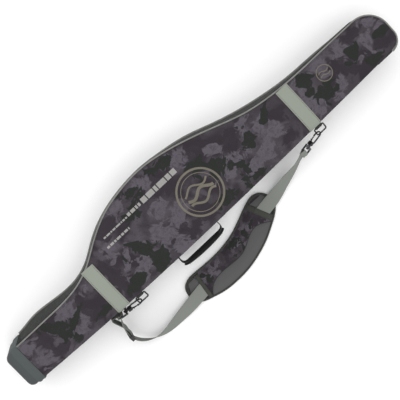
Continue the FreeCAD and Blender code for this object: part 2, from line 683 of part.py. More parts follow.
def build():
    make_back_panel()
    make_spine_panel()
    make_front_panel()
    make_gussets()
    make_zip_chains()
    make_piping()
    make_base_cup()
    make_dividers()
    make_bands()
    for place in ("lower", "upper"):
        make_ring_and_tab(place)
        make_hook(place)
    make_strap()
    make_shoulder_pad()
    make_handle()
    make_slider()
    doc.recompute()


def check_and_export():
    for obj in doc.Objects:
        if {"Invalid", "Error"} & set(obj.State):
            raise RuntimeError(f"{obj.Label} did not recompute: {obj.State}")
    os.makedirs("parts", exist_ok=True)
    for obj in nodes:
        if obj.Shape.isNull() or not obj.Shape.isValid() or not obj.Shape.Solids:
            raise RuntimeError(f"{obj.Label} has no valid solid")
        obj.Shape.exportStep(f"parts/{obj.Label}.step")
        print(f"{obj.Label}: {len(obj.Shape.Solids)} solid(s), {obj.Shape.Volume / 1000:.1f} cm3")


build()
check_and_export()
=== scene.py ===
"""A semi-rigid bag for three made-up fishing rods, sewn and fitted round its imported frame."""

import itertools
import math

import bmesh
import bpy
import numpy as np
from bpy.props import FloatProperty, FloatVectorProperty, PointerProperty
from mathutils import Matrix, Vector, noise


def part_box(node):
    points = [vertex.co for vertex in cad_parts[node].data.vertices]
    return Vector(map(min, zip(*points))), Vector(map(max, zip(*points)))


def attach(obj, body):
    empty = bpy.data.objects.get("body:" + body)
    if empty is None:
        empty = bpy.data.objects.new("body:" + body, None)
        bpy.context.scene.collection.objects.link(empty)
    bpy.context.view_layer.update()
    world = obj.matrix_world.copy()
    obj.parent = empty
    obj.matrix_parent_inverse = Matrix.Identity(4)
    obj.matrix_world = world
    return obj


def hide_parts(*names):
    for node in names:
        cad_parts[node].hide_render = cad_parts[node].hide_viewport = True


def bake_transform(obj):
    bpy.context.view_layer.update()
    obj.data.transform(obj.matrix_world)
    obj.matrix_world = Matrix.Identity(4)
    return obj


bl_info = {
    "name": "Rod Bag Workshop",
    "version": (1, 0, 0),
    "blender": (4, 5, 0),
    "location": "3D View > Sidebar > Rod Bag",
    "description": "Sews a semi-rigid rod bag round its packed frame",
    "category": "Add Mesh",
}

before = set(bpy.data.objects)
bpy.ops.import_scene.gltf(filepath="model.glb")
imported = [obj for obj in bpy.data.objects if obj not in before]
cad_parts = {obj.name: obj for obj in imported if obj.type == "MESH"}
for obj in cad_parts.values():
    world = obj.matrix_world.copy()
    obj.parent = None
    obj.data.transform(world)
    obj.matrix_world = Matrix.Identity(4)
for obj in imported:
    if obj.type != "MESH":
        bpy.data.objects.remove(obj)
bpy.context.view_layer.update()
MM = 0.001
WELD = 0.01 * MM  # points nearer than this are one point

# The bag's outline, in millimetres: x runs from the base to the tip, y towards the zip side.
FRONT_EDGE = [
    (-604, 43.5), (-550, 43.6), (-500, 43.5), (-404, 47.7), (-345, 64.8), (-290, 96.2),
    (-209, 136.6), (-130, 154), (-67, 157.6), (0, 148.8), (76, 128.8), (146, 105.2),
    (223, 79.6), (300, 65.8), (380, 60.3), (480, 59.8), (587, 59.6),
]
REAR_SIDE = [
    56.5, 63, 61.2, 55.4, 72, 104.8, 138.5, 153.2, 156.3, 149.5, 135.5, 113, 90, 73.8, 63,
    59, 54,
]
REAR_EDGE = [(x, side) for (x, _), side in zip(FRONT_EDGE, REAR_SIDE)]
SHELL_START, TIP_X, TIP_ROUND, HEEL_ROUND = -604, 645.5, 62, 34
CUP_ROUND, FACE_FADE = 16, 9
CREST_X, CREST_Y, BASE_Y, HEEL_Y = -80, -74, -59.5, -62.7
BAG_DEPTH, HINGE_HEIGHT, ZIP_HEIGHT = 130, 112, 70
ZIP_END, LID_ZIP_END = 565, 593
BAND_PLACES = {"lower": -337, "upper": 336}
RING_PLACES = {"lower": -292, "upper": 349}
RING_BAR = (-81, 76)
ROD_STRAP_PLACES = (-0.470, -0.020, 0.420)
HANDLE_MIDDLE = -83

# The shoulder strap, in millimetres: x, y, z and the webbing's roll in degrees.
LOWER_WEBBING = [
    (-376, -100, 62, 92), (-383, -121, 52, 90), (-387, -145, 41, 90), (-382, -168, 32, 90),
    (-366, -188, 25, 87), (-341, -203, 21, 75), (-314, -208.5, 19.5, 60),
    (-290, -208.5, 18, 48), (-264, -207, 16.2, 37), (-236, -205, 15, 23),
    (-206, -202, 13.7, 10), (-160, -197, 10.4, 0),
]
UPPER_WEBBING = [
    (262, -110, 63, -68), (246, -115.5, 55, -70), (226, -122.5, 43, -58), (202, -129.5, 31, -46),
    (179, -136, 22.8, -37), (158, -141.5, 17, -23), (138, -146, 13.8, -9),
    (114, -150, 10.8, -1), (88, -154.5, 10.4, 0),
]
LOOP_STANDS = {
    "lower": ((-344.87, -87.53, 68.275), -8, 105, 1),
    "upper": ((296.40, -102.584, 68.475), 10, 60, -1),
}
PAD_EDGE = [
    (-208, -187), (-199, -160), (-183, -150), (-150, -147.5), (-106, -150), (-62, -149),
    (-18, -142), (27, -126.5), (71, -108.5), (98, -102.5), (119, -108.5), (133, -126),
    (138, -150), (124, -174), (93, -195.5), (49, -218.5), (4, -234), (-40, -243), (-84, -245),
    (-129, -241), (-162, -232), (-192, -220), (-205, -206),
]
PAD_SPLIT = [
    (-158, -228), (-140, -208), (-122, -200), (-84, -197.5), (-51, -200), (-18, -197),
    (4, -187), (27, -175), (47, -170), (67, -174), (98, -193),
]
PAD_TOP = 9


def linear(code):
    """A six-digit colour code as linear red, green and blue."""
    parts = [int(code[n:n + 2], 16) / 255 for n in (0, 2, 4)]
    return tuple(p / 12.92 if p <= 0.04045 else ((p + 0.055) / 1.055) ** 2.4 for p in parts)


# ---------------------------------------------------------------- lines and outlines


def distances(line):
    """How far along the line each of its points is."""
    return np.concatenate([[0], np.cumsum(np.linalg.norm(np.diff(line, axis=0), axis=1))])


def evenly(line, step=None, count=None):
    """The line again with its points evenly spaced."""
    line = np.asarray(line, float)
    marks = distances(line)
    count = count or max(3, int(round(marks[-1] / step)) + 1)
    wanted = np.linspace(0, marks[-1], count)
    return np.column_stack([np.interp(wanted, marks, part) for part in line.T])


def smooth_line(points, step, slopes=(None, None), closed=False):
    """Evenly spaced points on a smooth line through the given ones."""
    places = np.array(points, float)
    if closed:
        places = np.vstack([places, places[:1]])
    gaps = np.linalg.norm(np.diff(places, axis=0), axis=1)
    rises = np.diff(places, axis=0) / gaps[:, None]
    count = len(places)
    rows, right = np.zeros((count, count)), np.zeros(places.shape)
    for n in range(1, count - 1):
        rows[n, n - 1:n + 2] = gaps[n], 2 * (gaps[n - 1] + gaps[n]), gaps[n - 1]
        right[n] = 3 * (gaps[n - 1] * rises[n] + gaps[n] * rises[n - 1])
    if closed:
        rows[0, [0, 1, -2]] = 2 * (gaps[-1] + gaps[0]), gaps[-1], gaps[0]
        right[0] = 3 * (gaps[-1] * rises[0] + gaps[0] * rises[-1])
        rows[-1, [0, -1]] = -1, 1
    else:
        for end, inner, slope in ((0, 1, slopes[0]), (-1, -2, slopes[1])):
            if slope is None:
                rows[end, end], rows[end, inner] = 2, 1
                right[end] = 3 * rises[end]
            else:
                rows[end, end] = 1
                right[end] = np.array(slope) / np.linalg.norm(slope)
    slants = np.linalg.solve(rows, right)
    t = np.linspace(0, 1, 24, endpoint=False)[:, None]
    dense = []
    for n, gap in enumerate(gaps):
        dense.append(
            (2 * t**3 - 3 * t**2 + 1) * places[n] + (t**3 - 2 * t**2 + t) * gap * slants[n]
            + (3 * t**2 - 2 * t**3) * places[n + 1] + (t**3 - t**2) * gap * slants[n + 1]
        )
    made = evenly(np.vstack(dense + [places[-1:]]), step)
    return made[:-1] if closed else made


def directions(line, closed=False):
    """The unit direction of the line at each point."""
    if closed:
        along = np.roll(line, -1, 0) - np.roll(line, 1, 0)
    else:
        along = np.gradient(line, axis=0)
    return along / np.maximum(np.linalg.norm(along, axis=1), 1e-12)[:, None]


def outward(line, closed=False):
    """The level direction to the left of the line, which is out of the bag, at each point."""
    along = directions(line, closed)
    return np.column_stack([-along[:, 1], along[:, 0]])


def beside(line, inset, closed=False):
    """A level line moved to its right, which is into the bag, by inset."""
    return line - outward(line, closed) * np.asarray(inset).reshape(-1, 1)


def arc(centre, radius, start, end, count):
    """Points round a level arc; angles in degrees."""
    turns = np.radians(np.linspace(start, end, count))
    return np.column_stack([centre[0] + radius * np.cos(turns), centre[1] + radius * np.sin(turns)])


def spine_at(x):
    """How far out the spine's face is at x, in metres."""
    x = np.asarray(x, float) / MM
    low_x = np.where(x < CREST_X, SHELL_START, TIP_X - HEEL_ROUND)
    rise = np.where(x < CREST_X, BASE_Y - CREST_Y, HEEL_Y - CREST_Y)
    radius = ((low_x - CREST_X) ** 2 + rise**2) / (2 * rise)
    return (CREST_Y + radius - np.sqrt(radius**2 - (x - CREST_X) ** 2)) * MM


def zip_side(edge, start=SHELL_START):
    """The panel's zip-side edge from the base to the tip's rounding."""
    corner = (TIP_X - TIP_ROUND, edge[-1][1])
    points = [(start, edge[0][1])] + list(edge[1:-1]) + [corner]
    return smooth_line(points, 2, slopes=((1, 0.02), (1, 0))) * MM


def free_run(edge, start=SHELL_START, end=None, step=4):
    """From the base along the zip side, round the tip to the heel, and back to x = end."""
    tip_y = edge[-1][1] - TIP_ROUND
    parts = [
        zip_side(edge, start)[:-1] / MM,
        arc((TIP_X - TIP_ROUND, tip_y), TIP_ROUND, 90, 0, 30),
        arc((TIP_X - HEEL_ROUND, HEEL_Y + HEEL_ROUND), HEEL_ROUND, 0, -90, 20),
    ]
    if end is not None:
        x = np.arange(TIP_X - HEEL_ROUND - 3, end, -3)
        parts.append(np.column_stack([x, spine_at(x * MM) / MM]))
        parts.append([[end, float(spine_at(end * MM)) / MM]])
    return evenly(np.vstack(parts), step) * MM


def away_from(places, line):
    """The distance of each level place from a level line."""
    a, b = line[:-1], line[1:]
    span = b - a
    offset = places[:, None, :] - a[None]
    t = np.clip((offset * span).sum(2) / np.maximum((span**2).sum(1), 1e-18), 0, 1)
    return np.linalg.norm(offset - t[..., None] * span, axis=2).min(1)


FRONT_RUN = free_run(FRONT_EDGE, step=3)
REAR_RUN = free_run(REAR_EDGE, step=3)
ZIP_LINES = {"front": zip_side(FRONT_EDGE), "rear": zip_side(REAR_EDGE)}


def zip_side_at(x, side="front"):
    """How far out a panel's zip-side edge is at x, in metres."""
    return np.interp(x, ZIP_LINES[side][:, 0], ZIP_LINES[side][:, 1])


def ease(t):
    """A smooth step from 0 to 1."""
    t = np.clip(t, 0, 1)
    return t * t * (3 - 2 * t)


def rounding(away, radius):
    """How far a rounded edge has dropped at a distance from the edge."""
    short = np.clip(radius - np.maximum(away, 0), 0, radius)
    return radius - np.sqrt(np.maximum(radius**2 - short**2, 0))


def ripple(places, scale, seed=0.0):
    """A slow, repeatable unevenness, from -1 to 1, at each place."""
    flat = np.asarray(places, float)
    return np.array([
        noise.noise(Vector((p[0] * scale, p[1] * scale, (p[2] if len(p) > 2 else 0) * scale + seed))
                    ) for p in flat
    ])


def front_height(places):
    """The height of the lid's padded face over level places."""
    sizes = bpy.context.scene.rod_bag_case
    places = np.asarray(places, float)
    free = away_from(places, FRONT_RUN)
    spine = places[:, 1] - spine_at(places[:, 0])
    crown = sizes.crown * ease(np.minimum(free, spine) / 0.055)
    waves = 0.0009 * ripple(places, 9) + 0.0003 * ripple(places, 32, 4)
    top = BAG_DEPTH * MM + crown + waves * ease(np.minimum(free, spine) / 0.02)
    return top - rounding(spine, sizes.spine_rounding) - rounding(free, sizes.zip_rounding)


# ---------------------------------------------------------------- sewing and moulding


class Cut:
    """The faces of one piece as they are laid out, with cloth coordinates in metres."""

    def __init__(self):
        self.places, self.faces, self.cloth, self.finishes = [], [], [], []

    def lay(self, grid, cloth=None, finish=0, around=False, loop=False):
        """Adds a grid of points as four-sided faces, closed round its columns or its rows."""
        grid = np.asarray(grid, float)
        rows, columns = grid.shape[:2]
        if cloth is None:
            down = np.vstack([grid[:, columns // 2], grid[:1, columns // 2]])
            over = np.vstack([grid[rows // 2], grid[rows // 2, :1]])
            u, v = np.meshgrid(distances(down), distances(over), indexing="ij")
            cloth = np.dstack([u, v])
        first = len(self.places)
        self.places += grid.reshape(-1, 3).tolist()
        for r in range(rows if loop else rows - 1):
            s = (r + 1) % rows
            for c in range(columns if around else columns - 1):
                d = (c + 1) % columns
                self.faces.append([first + r * columns + c, first + r * columns + d,
                                   first + s * columns + d, first + s * columns + c])
                self.cloth += [cloth[r, c], cloth[r, c + 1], cloth[r + 1, c + 1], cloth[r + 1, c]]
                self.finishes.append(finish)

    def close(self, ring, finish=0):
        """Closes the end of a tube with one face over a ring of points."""
        first = len(self.places)
        ring = np.asarray(ring, float)
        self.places += ring.tolist()
        self.faces.append(list(range(first, first + len(ring))))
        middle = ring.mean(0)
        self.cloth += [(p[0] - middle[0], p[1] - middle[1]) for p in ring]
        self.finishes.append(finish)

    def tube(self, line, across, up, profile, closed=False, finish=0):
        """Carries a profile of (across, up) points along a line."""
        line, across, up = (np.asarray(a, float) for a in (line, across, up))
        profile = np.asarray(profile, float)
        if profile.ndim == 2:
            profile = np.broadcast_to(profile, (len(line),) + profile.shape)
        grid = line[:, None] + profile[..., :1] * across[:, None] + profile[..., 1:] * up[:, None]
        self.lay(grid, finish=finish, around=True, loop=closed)
        if not closed:
            self.close(grid[0], finish=finish)
            self.close(grid[-1], finish=finish)

    def shell(self, outer, inner, outer_finish=0, inner_finish=0, cloth=None):
        """Two matching grids joined all round their rims."""
        self.lay(outer, cloth=cloth, finish=outer_finish)
        self.lay(inner, cloth=cloth, finish=inner_finish)
        rims = np.stack([rim(outer), rim(inner)])
        self.lay(rims, finish=outer_finish, around=True)


def rim(grid):
    """The points round the edge of a grid."""
    grid = np.asarray(grid, float)
    return np.vstack([grid[:, 0], grid[-1, 1:], grid[-2::-1, -1], grid[0, -2:0:-1]])


def sew(name, cut, finishes, body=None, crisp=40):
    """Makes the piece from its laid-out faces, and puts it on its body."""
    mesh = bpy.data.meshes.new(name)
    mesh.from_pydata(cut.places, [], cut.faces)
    layer = mesh.uv_layers.new(name="cloth")
    layer.data.foreach_set("uv", np.array(cut.cloth, np.float32).ravel())
    for finish in finishes:
        mesh.materials.append(finish)
    mesh.polygons.foreach_set("material_index", cut.finishes)
    bm = bmesh.new()
    bm.from_mesh(mesh)
    bmesh.ops.remove_doubles(bm, verts=bm.verts, dist=WELD)
    bmesh.ops.dissolve_degenerate(bm, dist=WELD, edges=bm.edges)
    bmesh.ops.recalc_face_normals(bm, faces=bm.faces)
    bm.to_mesh(mesh)
    bm.free()
    mesh.polygons.foreach_set("use_smooth", [True] * len(mesh.polygons))
    mesh.set_sharp_from_angle(angle=math.radians(crisp))
    piece = bpy.data.objects.new(name, mesh)
    bpy.context.scene.collection.objects.link(piece)
    if body:
        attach(piece, body)
    return piece


def webbing_edge(width, thick):
    """A flat webbing's section: a strip with rounded edges."""
    half, edge = width / 2 - thick / 2, thick / 2
    right = arc((half, 0), edge, -90, 90, 7)
    left = arc((-half, 0), edge, 90, 270, 7)
    top = [(half - 2 * half * k / 6, edge) for k in range(1, 6)]
    foot = [(-half + 2 * half * k / 6, -edge) for k in range(1, 6)]
    return np.vstack([right, top, left, foot])


def oval(half_wide, half_tall, power=2.0, count=16):
    """A rounded section, from a circle towards a box as the power grows."""
    turns = np.linspace(0, 2 * math.pi, count, endpoint=False)
    c, s = np.cos(turns), np.sin(turns)
    return np.column_stack([
        half_wide * np.sign(c) * np.abs(c) ** (2 / power),
        half_tall * np.sign(s) * np.abs(s) ** (2 / power),
    ])


def ribbon(cut, line, across, width, thick, finish=0, closed=False):
    """Webbing along a line, its width towards across."""
    line = np.asarray(line, float)
    along = directions(line, closed)
    across = np.broadcast_to(np.asarray(across, float), line.shape)
    across = across - (across * along).sum(1)[:, None] * along
    across = across / np.linalg.norm(across, axis=1)[:, None]
    up = np.cross(along, across)
    cut.tube(line, across, up, webbing_edge(width, thick), closed=closed, finish=finish)


def stitches(cut, line, normal, length=0.0032, gap=0.0016, thick=0.00035, finish=0):
    """A row of raised thread stitches along a line on a surface."""
    line = np.asarray(line, float)
    normals = np.broadcast_to(np.asarray(normal, float), line.shape)
    marks = distances(line)
    start = gap
    while start + length < marks[-1]:
        spots = np.linspace(start, start + length, 3)
        path = np.column_stack([np.interp(spots, marks, part) for part in line.T])
        up = np.column_stack([np.interp(spots, marks, part) for part in normals.T])
        along = directions(path)
        side = np.cross(along, up)
        side = side / np.linalg.norm(side, axis=1)[:, None]
        path = path + up * np.array([[0], [thick * 0.9], [0]])
        cut.tube(path, side, up, oval(thick, thick, count=5), finish=finish)
        start += length + gap


def four_sided(bottom, top, left, right):
    """A smooth grid between four edges that meet at their corners."""
    u = np.linspace(0, 1, len(bottom))[:, None, None]
    v = np.linspace(0, 1, len(left))[None, :, None]
    b, t, l, r = bottom[:, None], top[:, None], left[None], right[None]
    corners = ((1 - u) * (1 - v) * bottom[0] + u * (1 - v) * bottom[-1]
               + (1 - u) * v * top[0] + u * v * top[-1])
    return (1 - v) * b + v * t + (1 - u) * l + u * r - corners


def raised(flat, heights):
    """A level grid of points lifted to heights."""
    shape = flat.shape[:2]
    return np.dstack([flat, np.broadcast_to(heights, shape)])


def over_grid(flat, surface):
    """A surface's height at every point of a level grid."""
    return surface(flat.reshape(-1, 2)).reshape(flat.shape[:2])


# ---------------------------------------------------------------- finishes


def node(tree, kind, inputs=None, **settings):
    """Adds a node; an input may be another node's output or a plain value."""
    made = tree.nodes.new("ShaderNode" + kind)
    for key, value in settings.items():
        setattr(made, key, value)
    for key, value in (inputs or {}).items():
        if isinstance(value, bpy.types.NodeSocket):
            tree.links.new(value, made.inputs[key])
        else:
            made.inputs[key].default_value = value
    return made


def maths(tree, operation, a, b=0.0):
    """The result of one sum on two numbers."""
    return node(tree, "Math", {0: a, 1: b}, operation=operation).outputs[0]


def between(tree, factor, a, b):
    """A mix of two colours."""
    return node(tree, "Mix", {0: factor, 6: a, 7: b}, data_type="RGBA").outputs[2]


def step_up(tree, value, low, high):
    """0 below low, 1 above high, and smooth between."""
    return node(tree, "MapRange", {0: value, 1: low, 2: high},
                interpolation_type="SMOOTHSTEP").outputs[0]


def effect(name, inputs, outputs):
    """A new group with named inputs and outputs."""
    tree = bpy.data.node_groups.new(name, "ShaderNodeTree")
    for label, kind, default in inputs:
        socket = tree.interface.new_socket(name=label, in_out="INPUT",
                                           socket_type="NodeSocket" + kind)
        if default is not None:
            socket.default_value = default
    for label, kind in outputs:
        tree.interface.new_socket(name=label, in_out="OUTPUT", socket_type="NodeSocket" + kind)
    return tree


def use(tree, name, inputs):
    """Places a shared effect in a material, and makes it the first time."""
    if name not in bpy.data.node_groups:
        EFFECTS[name]()
    made = node(tree, "Group", node_tree=bpy.data.node_groups[name])
    for key, value in inputs.items():
        if isinstance(value, bpy.types.NodeSocket):
            tree.links.new(value, made.inputs[key])
        else:
            made.inputs[key].default_value = value
    return made.outputs


def make_plain_weave():
    """Threads that pass over and under each other, with painted shade between them."""
    tree = effect("Plain weave", [("Cloth", "Vector", None), ("Threads", "Float", 900.0)],
                  [("Height", "Float"), ("Shade", "Float")])
    given = node(tree, "SeparateXYZ")
    start = tree.nodes.new("NodeGroupInput")
    tree.links.new(start.outputs["Cloth"], given.inputs[0])
    threads = maths(tree, "MULTIPLY", start.outputs["Threads"], math.pi)
    waves, floors = [], []
    for axis in (0, 1):
        turn = maths(tree, "MULTIPLY", given.outputs[axis], threads)
        waves.append(maths(tree, "ABSOLUTE", maths(tree, "SINE", turn)))
        floors.append(maths(tree, "FLOOR", maths(tree, "DIVIDE", turn, math.pi)))
    odd = maths(tree, "PINGPONG", maths(tree, "ADD", floors[0], floors[1]), 1.0)
    first = maths(tree, "MULTIPLY", waves[0], odd)
    second = maths(tree, "MULTIPLY", waves[1], maths(tree, "SUBTRACT", 1.0, odd))
    height = maths(tree, "ADD", first, second)
    slub = node(tree, "TexNoise", {"Vector": start.outputs["Cloth"], "Scale": 420.0,
                                   "Detail": 2.0}).outputs[0]
    end = tree.nodes.new("NodeGroupOutput")
    tree.links.new(height, end.inputs["Height"])
    # Painted shade: the hollows between the threads are darker by their height; the slub adds the
    # yarn's own uneven tone.
    shade = maths(tree, "ADD", maths(tree, "MULTIPLY", height, 0.55),
                  maths(tree, "MULTIPLY", slub, 0.45))
    tree.links.new(shade, end.inputs["Shade"])


def make_webbing_ribs():
    """Webbing's ribs, with a fine zigzag across and painted shade in the grooves."""
    tree = effect("Webbing ribs", [("Cloth", "Vector", None), ("Rib", "Float", 0.0022)],
                  [("Height", "Float"), ("Shade", "Float")])
    start = tree.nodes.new("NodeGroupInput")
    given = node(tree, "SeparateXYZ", {0: start.outputs["Cloth"]})
    rate = maths(tree, "DIVIDE", 2 * math.pi, start.outputs["Rib"])
    side = maths(tree, "MULTIPLY", given.outputs[1], rate)
    length = maths(tree, "MULTIPLY", given.outputs[0], maths(tree, "MULTIPLY", rate, 0.8))
    zigzag = maths(tree, "MULTIPLY", maths(tree, "SINE", side), 0.9)
    ribs = maths(tree, "ABSOLUTE", maths(tree, "COSINE", maths(tree, "MULTIPLY", side, 0.5)))
    cross = maths(tree, "SINE", maths(tree, "ADD", length, zigzag))
    height = maths(tree, "ADD", maths(tree, "MULTIPLY", ribs, 0.65),
                   maths(tree, "MULTIPLY", cross, 0.2))
    fray = node(tree, "TexNoise", {"Vector": start.outputs["Cloth"], "Scale": 260.0,
                                   "Detail": 3.0}).outputs[0]
    end = tree.nodes.new("NodeGroupOutput")
    tree.links.new(height, end.inputs["Height"])
    # Painted shade: the grooves between the ribs are darker by their height; the fray adds the
    # yarn's own uneven tone.
    shade = maths(tree, "ADD", maths(tree, "MULTIPLY", height, 0.5),
                  maths(tree, "MULTIPLY", fray, 0.5))
    tree.links.new(shade, end.inputs["Shade"])


def make_handling_wear():
    """Broad and fine unevenness, for rubbed places and grain."""
    tree = effect("Handling wear", [("Place", "Vector", None), ("Scale", "Float", 40.0)],
                  [("Broad", "Float"), ("Fine", "Float")])
    start = tree.nodes.new("NodeGroupInput")
    end = tree.nodes.new("NodeGroupOutput")
    for label, faster, detail in (("Broad", 1.0, 3.0), ("Fine", 12.0, 5.0)):
        scale = maths(tree, "MULTIPLY", start.outputs["Scale"], faster)
        grain = node(tree, "TexNoise", {"Vector": start.outputs["Place"], "Scale": scale,
                                        "Detail": detail}).outputs[0]
        tree.links.new(grain, end.inputs[label])


def make_camouflage_print():
    """The printed cloth's four tones, with ragged edges to its patches."""
    tree = effect(
        "Camouflage print",
        [("Cloth", "Vector", None), ("Patches", "Color", (0, 0, 0, 1)), ("Scale", "Float", 1.0),
         ("Light", "Color", (0.1, 0.1, 0.1, 1)), ("Middle", "Color", (0.06, 0.06, 0.06, 1)),
         ("Dark", "Color", (0.04, 0.04, 0.04, 1)), ("Green", "Color", (0.03, 0.03, 0.03, 1))],
        [("Color", "Color")])
    start = tree.nodes.new("NodeGroupInput")
    place = start.outputs["Cloth"]

    def grain(rate, detail, bend=0.0):
        scale = maths(tree, "MULTIPLY", start.outputs["Scale"], rate)
        made = node(tree, "TexNoise", {"Vector": place, "Scale": scale, "Detail": detail,
                                       "Distortion": bend, "Roughness": 0.55})
        return node(tree, "SeparateColor", {0: made.outputs[1]}).outputs

    ragged, broad, fine = grain(32.0, 3.0, 0.8), grain(14.0, 2.0, 0.4), grain(75.0, 2.0, 1.2)
    patch = node(tree, "SeparateColor", {0: start.outputs["Patches"]}).outputs
    masks = []
    for n, (weight, soft) in enumerate(((0.95, 0.07), (0.9, 0.1), (1.0, 0.05))):
        push = maths(tree, "MULTIPLY", maths(tree, "SUBTRACT", ragged[n], 0.5), weight * 2.2)
        field = maths(tree, "ADD", maths(tree, "SUBTRACT", patch[n], 0.5), push)
        masks.append(step_up(tree, field, -soft, soft))
    under = between(tree, step_up(tree, broad[0], 0.42, 0.6), start.outputs["Dark"],
                    start.outputs["Middle"])
    haze = between(tree, maths(tree, "MULTIPLY", step_up(tree, broad[1], 0.5, 0.62), 0.55),
                   under, start.outputs["Light"])
    light = between(tree, maths(tree, "MULTIPLY", step_up(tree, fine[1], 0.45, 0.7), 0.45),
                    start.outputs["Light"], start.outputs["Middle"])
    made = between(tree, masks[0], haze, light)
    made = between(tree, maths(tree, "MULTIPLY", masks[1], 0.9), made, start.outputs["Dark"])
    made = between(tree, masks[2], made, start.outputs["Green"])
    vein = maths(tree, "MULTIPLY", step_up(tree, fine[0], 0.6, 0.63), 0.35)
    made = between(tree, vein, made, start.outputs["Dark"])
    end = tree.nodes.new("NodeGroupOutput")
    tree.links.new(made, end.inputs["Color"])


EFFECTS = {
    "Plain weave": make_plain_weave,
    "Webbing ribs": make_webbing_ribs,
    "Handling wear": make_handling_wear,
    "Camouflage print": make_camouflage_print,
}


def new_finish(name, roughness, sheen=0.0, metal=0.0, gloss=0.5):
    """A material with its shader, whose even values are set on the shader itself."""
    made = bpy.data.materials.new(name)
    made.use_nodes = True
    tree = made.node_tree
    shader = tree.nodes["Principled BSDF"]
    shader.inputs["Roughness"].default_value = roughness
    shader.inputs["Metallic"].default_value = metal
    shader.inputs["Sheen Weight"].default_value = sheen
    shader.inputs["Sheen Roughness"].default_value = 0.5
    shader.inputs["Specular IOR Level"].default_value = gloss
    return made, tree, shader


def bump(tree, shader, height, strength, depth):
    """A bump from a height that varies over the surface."""
    made = node(tree, "Bump", {"Height": height, "Strength": strength, "Distance": depth})
    tree.links.new(made.outputs[0], shader.inputs["Normal"])


def tinted(tree, shader, colour, shade, low, high):
    """The colour, darker and lighter with a shade, on the shader."""
    level = node(tree, "MapRange", {0: shade, 3: low, 4: high}).outputs[0]
    made = node(tree, "VectorMath", {0: colour}, operation="SCALE")
    tree.links.new(level, made.inputs["Scale"])
    tree.links.new(made.outputs[0], shader.inputs["Base Color"])


def cloth_place(tree):
    """The place on the cut cloth, in metres."""
    return node(tree, "UVMap", uv_map="cloth").outputs[0]


def woven(name, colour, threads, sheen=0.03, rough=0.85, bump_depth=0.0004, strength=0.6):
    """A plain woven cloth."""
    made, tree, shader = new_finish(name, rough, sheen=sheen, gloss=0.25)
    place = cloth_place(tree)
    weave = use(tree, "Plain weave", {"Cloth": place, "Threads": threads})
    wear = use(tree, "Handling wear", {"Place": place, "Scale": 18.0})
    # The weave's painted shade between the threads, with the broad uneven tone, darkens and
    # lightens the colour.
    mix = maths(tree, "ADD", maths(tree, "MULTIPLY", weave["Shade"], 0.6),
                maths(tree, "MULTIPLY", wear["Broad"], 0.4))
    tinted(tree, shader, colour, mix, 0.45, 1.5)
    bump(tree, shader, weave["Height"], strength, bump_depth)
    rough_range = node(tree, "MapRange", {0: wear["Fine"], 3: rough - 0.1, 4: rough + 0.08})
    tree.links.new(rough_range.outputs[0], shader.inputs["Roughness"])
    return made


def ribbed(name, colour, rib=0.0022, sheen=0.03, rough=0.8):
    """A ribbed webbing."""
    made, tree, shader = new_finish(name, rough, sheen=sheen, gloss=0.3)
    place = cloth_place(tree)
    ribs = use(tree, "Webbing ribs", {"Cloth": place, "Rib": rib})
    wear = use(tree, "Handling wear", {"Place": place, "Scale": 22.0})
    # The ribs' painted shade in their grooves, with the broad uneven tone, darkens and lightens the
    # colour.
    mix = maths(tree, "ADD", maths(tree, "MULTIPLY", ribs["Shade"], 0.65),
                maths(tree, "MULTIPLY", wear["Broad"], 0.35))
    tinted(tree, shader, colour, mix, 0.45, 1.5)
    bump(tree, shader, ribs["Height"], 0.7, 0.0005)
    rough_range = node(tree, "MapRange", {0: wear["Fine"], 3: rough - 0.1, 4: rough + 0.08})
    tree.links.new(rough_range.outputs[0], shader.inputs["Roughness"])
    return made


def camouflage(name, colours, scale=1.0):
    """The printed outer cloth: broad soft patches under a woven grain."""
    made, tree, shader = new_finish(name, 0.82, sheen=0.02, gloss=0.2)
    place = cloth_place(tree)
    patches = node(tree, "Attribute", attribute_name="patches").outputs["Color"]
    tones = {label: (*getattr(colours, key), 1) for label, key in (
        ("Light", "camo_light"), ("Middle", "camo_middle"), ("Dark", "camo_dark"),
        ("Green", "camo_green"))}
    printed = use(tree, "Camouflage print",
                  {"Cloth": place, "Patches": patches, "Scale": scale, **tones})["Color"]
    weave = use(tree, "Plain weave", {"Cloth": place, "Threads": 1000.0})
    # The weave's painted shade between the threads darkens and lightens the print.
    tinted(tree, shader, printed, weave["Shade"], 0.6, 1.4)
    bump(tree, shader, weave["Height"], 0.5, 0.0003)
    wear = use(tree, "Handling wear", {"Place": place, "Scale": 25.0})
    rough_range = node(tree, "MapRange", {0: wear["Broad"], 3: 0.72, 4: 0.92})
    tree.links.new(rough_range.outputs[0], shader.inputs["Roughness"])
    return made


def moulded(name, colour, rough, grain, place_from="cloth", metal=0.0, depth=0.0002):
    """A moulded, coated or plated surface with a fine grain and rubbed places."""
    made, tree, shader = new_finish(name, rough, gloss=0.4, metal=metal)
    if place_from == "cloth":
        place = cloth_place(tree)
    else:
        place = node(tree, "TexCoord").outputs["Object"]
    wear = use(tree, "Handling wear", {"Place": place, "Scale": grain / 12})
    tinted(tree, shader, colour, wear["Broad"], 0.6, 1.45)
    bump(tree, shader, wear["Fine"], 0.35, depth)
    rough_range = node(tree, "MapRange", {0: wear["Broad"], 3: rough - 0.12, 4: rough + 0.14})
    tree.links.new(rough_range.outputs[0], shader.inputs["Roughness"])
    return made


